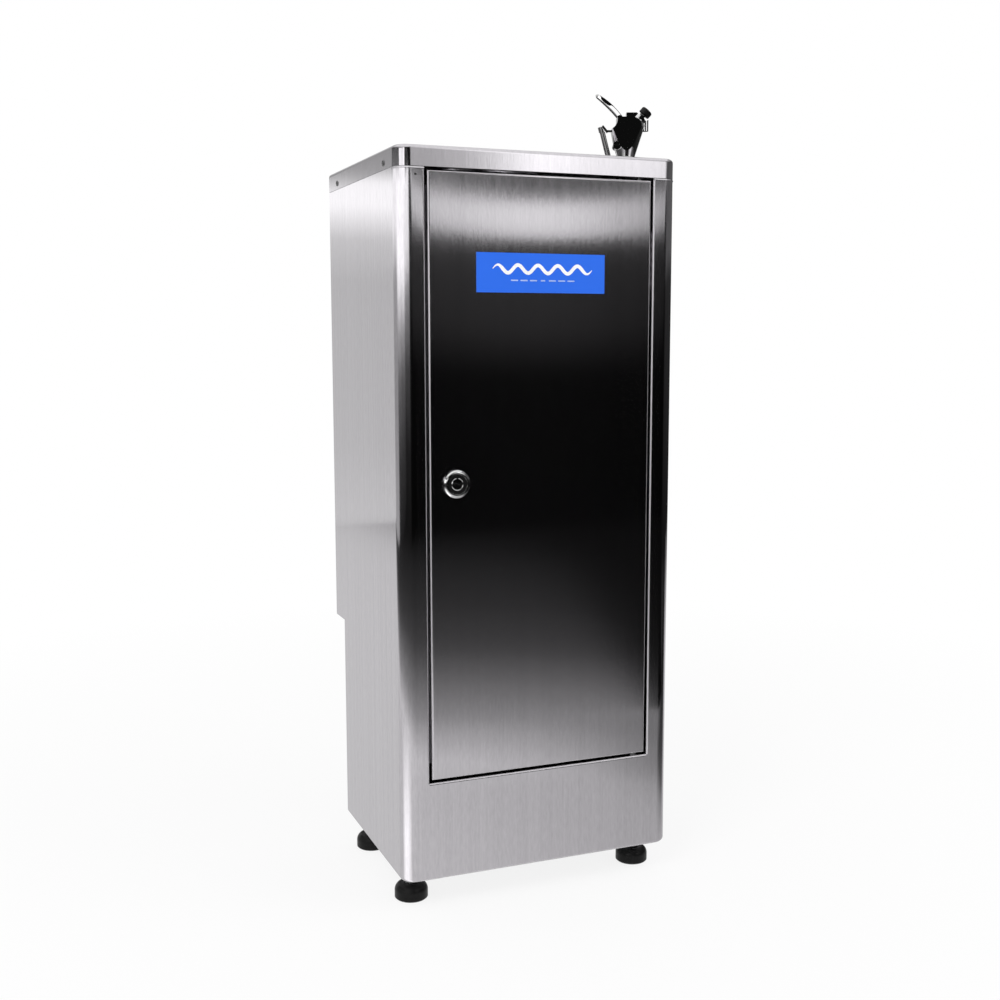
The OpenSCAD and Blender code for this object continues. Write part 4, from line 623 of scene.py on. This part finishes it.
# return spring of the button, built at one length on a mesh of its own
spring = {"spot": (0.0248, 0, 0.0536), "rise": 48, "low": -0.0104, "high": 0.0039, "radius": 0.0041, "wire": 0.0005,
          "turns": 5, "steps": 28, "round": 10, "keep": 0.74}


def springShape():
    count = spring["turns"] * spring["steps"]
    loops = []
    for i in range(count + 1):
        a = math.tau * i / spring["steps"]
        middle = spring["low"] + (spring["high"] - spring["low"]) * i / count
        ring = []
        for s in evenAngles(spring["round"]):
            r = spring["radius"] + spring["wire"] * math.cos(s)
            ring.append((r * math.cos(a), r * math.sin(a), middle + spring["wire"] * math.sin(s)))
        loops.append(ring)
    return skin(loops)


lean = Matrix.Rotation(math.radians(90 - spring["rise"]), 4, "Y")
buttonFrame = tapFrame @ Matrix.Translation(spring["spot"]) @ lean
coil = addPiece("spring_coil", moved(springShape(), buttonFrame), "screw", "cabinet", 60)
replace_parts(coil, "button_spring")
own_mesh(coil)

# domed ring round the lock, split on its left, and a bright notched rim round the key hole
lock = {"spot": (-0.1105, -0.150, 0.523), "steps": 72,
        "ring": ((0.0120, 0.0030), (0.0120, 0.0046), (0.0123, 0.0050), (0.0130, 0.0051), (0.0140, 0.0049),
                 (0.0150, 0.0044), (0.0158, 0.0036), (0.0164, 0.0026), (0.0166, 0.0015), (0.0166, 0.0001),
                 (0.0150, 0.0001)),
        "ringFrom": 182.5, "ringTo": 537.5,
        "rim": ((0.0066, 0.0031), (0.0066, 0.0039), (0.0069, 0.0041), (0.0073, 0.0039), (0.0075, 0.0036),
                (0.0075, 0.0031)),
        "rimFrom": 102, "rimTo": 438}


# closed outline of radius and height swept round an arc
def sweptShape(outline, first, last, steps):
    turns = [math.radians(first + (last - first) * i / steps) for i in range(steps + 1)]
    return skin([[(r * math.cos(a), r * math.sin(a), h) for r, h in outline] for a in turns])


outFront = Matrix.Rotation(math.pi / 2, 4, "X")  # Z of a shape to the front
lockFrame = Matrix.Translation(lock["spot"]) @ outFront
for name, part, body in (("lock_ring", "ring", "door"), ("key_rim", "rim", "lock")):
    shape = sweptShape(lock[part], lock[part + "From"], lock[part + "To"], lock["steps"])
    addPiece(name, moved(shape, lockFrame), "chrome", body, 40)

# small rivet high on the left stile
rivet = {"spot": (-0.1576, -0.150, 0.8769), "round": 24,
         "rings": ((0.0008, -0.004), (0.0008, 0.0), (0.0015, 0.0), (0.0014, 0.0003), (0.0011, 0.0006),
                   (0.0007, 0.0006), (0.0004, 0.0003))}
shape = skin([loop(evenAngles(rivet["round"]), r, h) for r, h in rivet["rings"]])
rivetFrame = Matrix.Translation(rivet["spot"]) @ outFront
addPiece("stile_rivet", moved(shape, rivetFrame), "screw", "cabinet")

# bright folded lip on top of each stile, under the cover's skirt and round the corner
lips = {"inner": 0.1472, "side": 0.180, "front": -0.150, "bend": 0.018, "steps": 10,
        "outline": ((-0.0005, 0.8856), (0.0, 0.8852), (0.0007, 0.8838), (0.0007, 0.8835), (-0.0005, 0.8832))}


def lipShape(sign):
    bend, outline = lips["bend"], lips["outline"]
    path = [(lips["inner"], lips["front"], 0.0, -1.0)]
    for i in range(lips["steps"] + 1):
        a = math.pi / 2 * i / lips["steps"]
        ax, ay = math.sin(a), -math.cos(a)
        path.append((lips["side"] - bend + bend * ax, lips["front"] + bend + bend * ay, ax, ay))
    return skin([[(sign * (x + ax * o), y + ay * o, z) for o, z in outline] for x, y, ax, ay in path])


addPiece("stile_lips", joined([lipShape(-1), lipShape(1)]), "rear", "cabinet", 20)

# thread on the free end of the water inlet
inlet = {"x": -0.150, "z": 0.170, "from": 0.1178, "to": 0.1333, "crest": 0.0109, "root": 0.01042, "pitch": 0.0018,
         "steps": 40, "inner": 0.0100}
inletFrame = Matrix.Translation((inlet["x"], 0, inlet["z"])) @ Matrix.Rotation(-math.pi / 2, 4, "X")
thread = threadShape(inlet, inlet["from"], inlet["to"])
addPiece("inlet_thread", moved(thread, inletFrame), "brass", "cabinet")
print("pieces added")

# camera fitted to the cabinet's edges, in metres and radians
view = {"spot": (-0.61737, -1.55060, 0.69287), "yaw": 0.381584, "pitch": 0.126164, "roll": 0.001516,
        "focalPixels": 1274.874, "frame": 1000, "sensor": 36, "farthest": 100}


def placeCamera():
    yaw, pitch, roll = view["yaw"], view["pitch"], view["roll"]
    ahead = Vector((math.sin(yaw) * math.cos(pitch), math.cos(yaw) * math.cos(pitch), -math.sin(pitch)))
    right = Vector((math.cos(yaw), -math.sin(yaw), 0))
    down = ahead.cross(right)
    side = right * math.cos(roll) + down * math.sin(roll)
    drop = down * math.cos(roll) - right * math.sin(roll)
    lens = bpy.data.cameras.new("camera")
    lens.sensor_fit = "HORIZONTAL"
    lens.sensor_width = view["sensor"]
    lens.lens = view["focalPixels"] / view["frame"] * view["sensor"]
    lens.clip_end = view["farthest"]
    cam = bpy.data.objects.new("camera", lens)
    scene.collection.objects.link(cam)
    turn = Matrix((side, -drop, -ahead)).transposed().to_4x4()
    cam.matrix_world = Matrix.Translation(view["spot"]) @ turn
    scene.camera = cam


placeCamera()
print("camera placed")

# studio: white sweep, soft lamps, and flags and softboxes that only reflections see
studio = {"floorGlow": 0.84, "glowFrom": 0.5, "glowTo": 1.7, "floorTone": 0.86, "worldFill": 0.8, "reach": 12.0}


def stageMaterial(name, build):
    mat = bpy.data.materials.new(name)
    mat.use_nodes = True
    mat.node_tree.nodes.clear()
    w = Wire(mat.node_tree)
    w.add("OutputMaterial", None, {"Surface": build(w)})
    return mat


def stageSheet(name, corners, build, reflectionOnly=True):
    mesh = bpy.data.meshes.new(name)
    mesh.from_pydata(corners, [], [(0, 1, 2, 3)])
    obj = bpy.data.objects.new(name, mesh)
    obj.data.materials.append(stageMaterial(name, build))
    scene.collection.objects.link(obj)
    if reflectionOnly:
        obj.visible_camera = obj.visible_diffuse = obj.visible_shadow = False
        obj.visible_transmission = obj.visible_volume_scatter = False


# corners of a level sheet between two opposite corners in plan
def levelCorners(first, last, height):
    (x0, y0), (x1, y1) = first, last
    return [(x0, y0, height), (x1, y0, height), (x1, y1, height), (x0, y1, height)]


def backgroundRays(w):
    path = w.add("LightPath").out.node.outputs
    shown = w.maths("MAXIMUM", Wire(w.tree, path["Is Camera Ray"]), Wire(w.tree, path["Is Glossy Ray"]))
    return w.maths("MAXIMUM", shown, Wire(w.tree, path["Is Transmission Ray"]))


# value of a coordinate read off a list of stops
def graded(coordinate, stops):
    low, high = stops[0][0], stops[-1][0]
    return ((coordinate - low) / (high - low)).ramp(*[((at - low) / (high - low), tone) for at, tone in stops])


# matte paper that glows white further out, so that it meets the white world without a line
def floorShader(w):
    out = w.add("VectorMath", {"operation": "LENGTH"}, {0: place(w)}, "Value")
    far = graded(out, ((studio["glowFrom"], 0.0), (studio["glowTo"], 1.0)))
    glow = far * (1 - studio["floorGlow"]) + studio["floorGlow"]
    matte = w.add("BsdfDiffuse", None, {"Color": grey(studio["floorTone"])})
    white = w.add("Emission", None, {"Color": grey(1.0), "Strength": 1.0})
    return w.add("MixShader", None, {0: backgroundRays(w) * glow, 1: matte, 2: white})


reach = studio["reach"]
stageSheet("floor", levelCorners((-reach, -reach), (reach, reach), 0), floorShader, False)
world = bpy.data.worlds.new("studio")
world.use_nodes = True
world.node_tree.nodes.clear()
sky = Wire(world.node_tree)
skyLight = backgroundRays(sky) * (1 - studio["worldFill"]) + studio["worldFill"]
sky.add("OutputWorld", None, {"Surface": sky.add("Background", None, {"Color": grey(1.0), "Strength": skyLight})})
scene.world = world

# flags and softboxes: foot line in plan and light by height; some have a share of it along X, or bowed heights
boxes = {
    "frontFlag": {"from": (-0.6, -2.95), "to": (5.0, -2.95), "power": 1.5, "bow": (1.2, 0.2),
                  "rise": ((0.0, 0.002), (0.56, 0.002), (0.66, 0.012), (0.72, 0.020), (0.98, 0.028), (1.030, 0.03),
                           (1.046, 0.80), (1.155, 0.82), (1.18, 0.22), (1.21, 0.06), (1.28, 0.05)),
                  "share": ((0.78, 0.72), (1.0, 0.88), (1.2, 1.0), (1.35, 0.95), (1.6, 0.46), (2.4, 0.4))},
    "frontDark": {"from": (-2.0, -2.95), "to": (5.0, -2.95), "power": 1.0,
                  "rise": ((1.28, 0.005), (2.6, 0.005), (3.0, 0.4), (4.0, 0.5))},
    "coverBox": {"from": (0.3, -2.9), "to": (3.0, -2.9), "power": 1.8, "rise": ((1.3, 1.0), (2.0, 1.0), (4.0, 0.7)),
                 "share": ((0.3, 0.1), (0.5, 0.30), (0.85, 0.34), (1.0, 0.48), (1.2, 0.97), (1.31, 0.90),
                           (1.455, 0.78), (1.6, 0.80), (1.75, 0.72), (2.1, 0.42), (3.0, 0.10))},
    "frontLeftLow": {"from": (-3.0, -2.95), "to": (-0.6, -2.95), "power": 1.5,
                     "rise": ((0.0, 0.006), (0.3, 0.012), (0.6, 0.05), (0.85, 0.22), (1.0, 0.75), (1.28, 0.95))},
    "frontLeftBox": {"from": (-3.0, -2.95), "to": (-2.0, -2.95), "power": 1.6,
                     "rise": ((1.28, 1.0), (1.9, 1.0), (4.0, 0.1))},
    "leftBox": {"from": (-3.0, 0.6), "to": (-3.0, -0.9), "power": 1.5,
                "rise": ((0.0, 0.012), (0.27, 0.03), (0.55, 0.11), (0.72, 0.32), (0.86, 0.75), (0.95, 1.0),
                         (1.22, 1.0), (1.3, 0.05), (2.3, 0.05), (2.8, 0.4), (4.0, 0.5))},
    "leftFrontBox": {"from": (-3.0, -0.9), "to": (-3.0, -2.95), "power": 1.5,
                     "rise": ((0.0, 0.012), (0.27, 0.03), (0.55, 0.09), (0.72, 0.28), (0.86, 0.7), (0.95, 1.0),
                              (1.8, 1.0), (1.9, 0.05), (2.3, 0.05), (2.8, 0.4), (4.0, 0.5))},
    "backLeftBox": {"from": (-1.7, 3.0), "to": (-3.0, 0.6), "power": 1.5,
                    "rise": ((0.0, 0.32), (0.5, 0.24), (0.9, 0.30), (1.1, 0.85), (1.25, 0.9), (1.33, 0.06),
                             (2.3, 0.06), (2.8, 0.4), (4.0, 0.5))},
    "backBox": {"from": (-0.3, 3.0), "to": (-1.7, 3.0), "power": 1.5,
                "rise": ((0.0, 0.50), (0.3, 0.44), (0.9, 0.42), (1.05, 0.50), (1.17, 0.88), (1.25, 0.88),
                         (1.33, 0.26), (2.0, 0.24), (2.8, 0.4), (4.0, 0.5))},
    "backDark": {"from": (3.0, 3.0), "to": (-0.3, 3.0), "power": 1.0,
                 "rise": ((0.0, 0.02), (0.9, 0.04), (1.2, 0.06), (1.35, 0.55), (4.0, 0.55))},
    "rightDark": {"from": (3.0, -2.95), "to": (3.0, 3.0), "power": 1.0,
                  "rise": ((0.0, 0.01), (0.9, 0.03), (1.0, 0.12), (1.3, 0.14), (1.45, 0.10), (2.3, 0.10),
                           (2.8, 0.4), (4.0, 0.5))},
}


def boxShader(spec):
    def build(w):
        height = along(w, 2)
        if "bow" in spec:
            aside = along(w, 0) - spec["bow"][0]
            height = height - aside * aside * spec["bow"][1]
        tone = graded(height, spec["rise"])
        if "share" in spec:
            tone = tone * graded(along(w, 0), spec["share"])
        return w.add("Emission", None, {"Color": tone.mix(grey(0.0), grey(1.0)), "Strength": spec["power"]})
    return build


for name, spec in boxes.items():
    (x0, y0), (x1, y1) = spec["from"], spec["to"]
    low, high = spec["rise"][0][0], spec["rise"][-1][0]
    stageSheet(name, [(x0, y0, low), (x1, y1, low), (x1, y1, high), (x0, y0, high)], boxShader(spec))

# dark cloth on the floor that leaves a pool of light round the cabinet, long behind it on the left
pool = {"from": (-3, -2.95), "to": (3, 3), "height": 0.002, "middle": -0.3,
        "backStretch": ((0.2, 0.1), (0.8, 1.0)),
        "cover": ((0.0, 0.28), (0.57, 0.28), (0.75, 0.24), (0.87, 0.45), (1.0, 0.66), (1.14, 0.76), (1.31, 0.85),
                  (1.5, 0.92), (1.65, 0.94), (2.0, 0.962), (3.0, 0.99)),
        "shadeAcross": ((-0.1, 0.0), (0.25, 0.26), (0.5, 0.80)),
        "shadeAlong": ((-0.8, 0.0), (-0.5, 1.0), (-0.2, 1.0), (0.0, 0.0)),
        "sideAcross": ((0.25, 0.0), (0.5, 0.75), (1.3, 0.72), (2.6, 0.15)),
        "sideAlong": ((-0.15, 0.0), (0.1, 1.0))}


def poolShader(w):
    x, y = along(w, 0), along(w, 1)
    behind = w.maths("MAXIMUM", y, 0.0) * graded(x, pool["backStretch"])
    ahead = w.maths("MINIMUM", y, 0.0)
    aside = x - pool["middle"]
    cover = graded(w.maths("SQRT", aside * aside + behind * behind + ahead * ahead), pool["cover"])
    cover = cover * (1 - graded(x, pool["sideAcross"]) * graded(y, pool["sideAlong"]))
    shade = graded(x, pool["shadeAcross"]) * graded(y, pool["shadeAlong"])
    dark = w.add("Emission", None, {"Color": grey(0.0), "Strength": 0.0})
    return w.add("MixShader", None, {0: 1 - (1 - cover) * (1 - shade), 1: w.add("BsdfTransparent"), 2: dark})


stageSheet("poolCloth", levelCorners(pool["from"], pool["to"], pool["height"]), poolShader)

# second cloth over it, a wedge out to the front right
wedge = {"corners": ((0.51, -0.80), (1.22, -2.9), (2.9, -2.9), (0.95, -0.5)), "height": 0.004, "tone": 0.004}


def wedgeShader(w):
    return w.add("Emission", None, {"Color": grey(wedge["tone"]), "Strength": 1.0})


stageSheet("wedgeCloth", [(*corner, wedge["height"]) for corner in wedge["corners"]], wedgeShader)

# fan of soft light over the cloths that runs up the front left corner
cornerGlow = {"root": (-0.165, -0.140), "height": 0.006, "gap": 0.003, "back": 0.24, "power": 1.5,
              "fan": ((-0.25, 0.0), (0.15, 1.0), (0.7, 1.0), (1.9, 0.0)), "reach": ((0.25, 1.0), (0.8, 0.0))}


def glowShader(w):
    x, y = along(w, 0) - cornerGlow["root"][0], along(w, 1) - cornerGlow["root"][1]
    lit = graded(y / x, cornerGlow["fan"]) * graded(w.maths("SQRT", x * x + y * y), cornerGlow["reach"])
    glow = w.add("Emission", None, {"Color": grey(1.0), "Strength": cornerGlow["power"]})
    return w.add("MixShader", None, {0: lit, 1: w.add("BsdfTransparent"), 2: glow})


(x0, y0), out = cornerGlow["root"], cornerGlow["reach"][-1][0]
fan = levelCorners((x0 - out, y0 - out), (x0 - cornerGlow["gap"], y0 + cornerGlow["back"]), cornerGlow["height"])
stageSheet("cornerGlow", fan, glowShader)

lamps = {
    "keyLamp": {"spot": (-1.8, -1.6, 2.2), "aim": (0, 0, 0.6), "size": (1.2, 1.2), "power": 30},
    "fillLamp": {"spot": (1.8, -1.4, 1.6), "aim": (0, 0, 0.5), "size": (1.4, 1.4), "power": 14},
}
for name, spec in lamps.items():
    lamp = bpy.data.lights.new(name, "AREA")
    lamp.shape = "RECTANGLE"
    lamp.size, lamp.size_y = spec["size"]
    lamp.energy = spec["power"]
    obj = bpy.data.objects.new(name, lamp)
    obj.location = spec["spot"]
    obj.rotation_euler = (Vector(spec["aim"]) - Vector(spec["spot"])).to_track_quat("-Z", "Y").to_euler()
    obj.visible_glossy = False
    scene.collection.objects.link(obj)
print("studio set:", len(boxes), "flags and boxes")
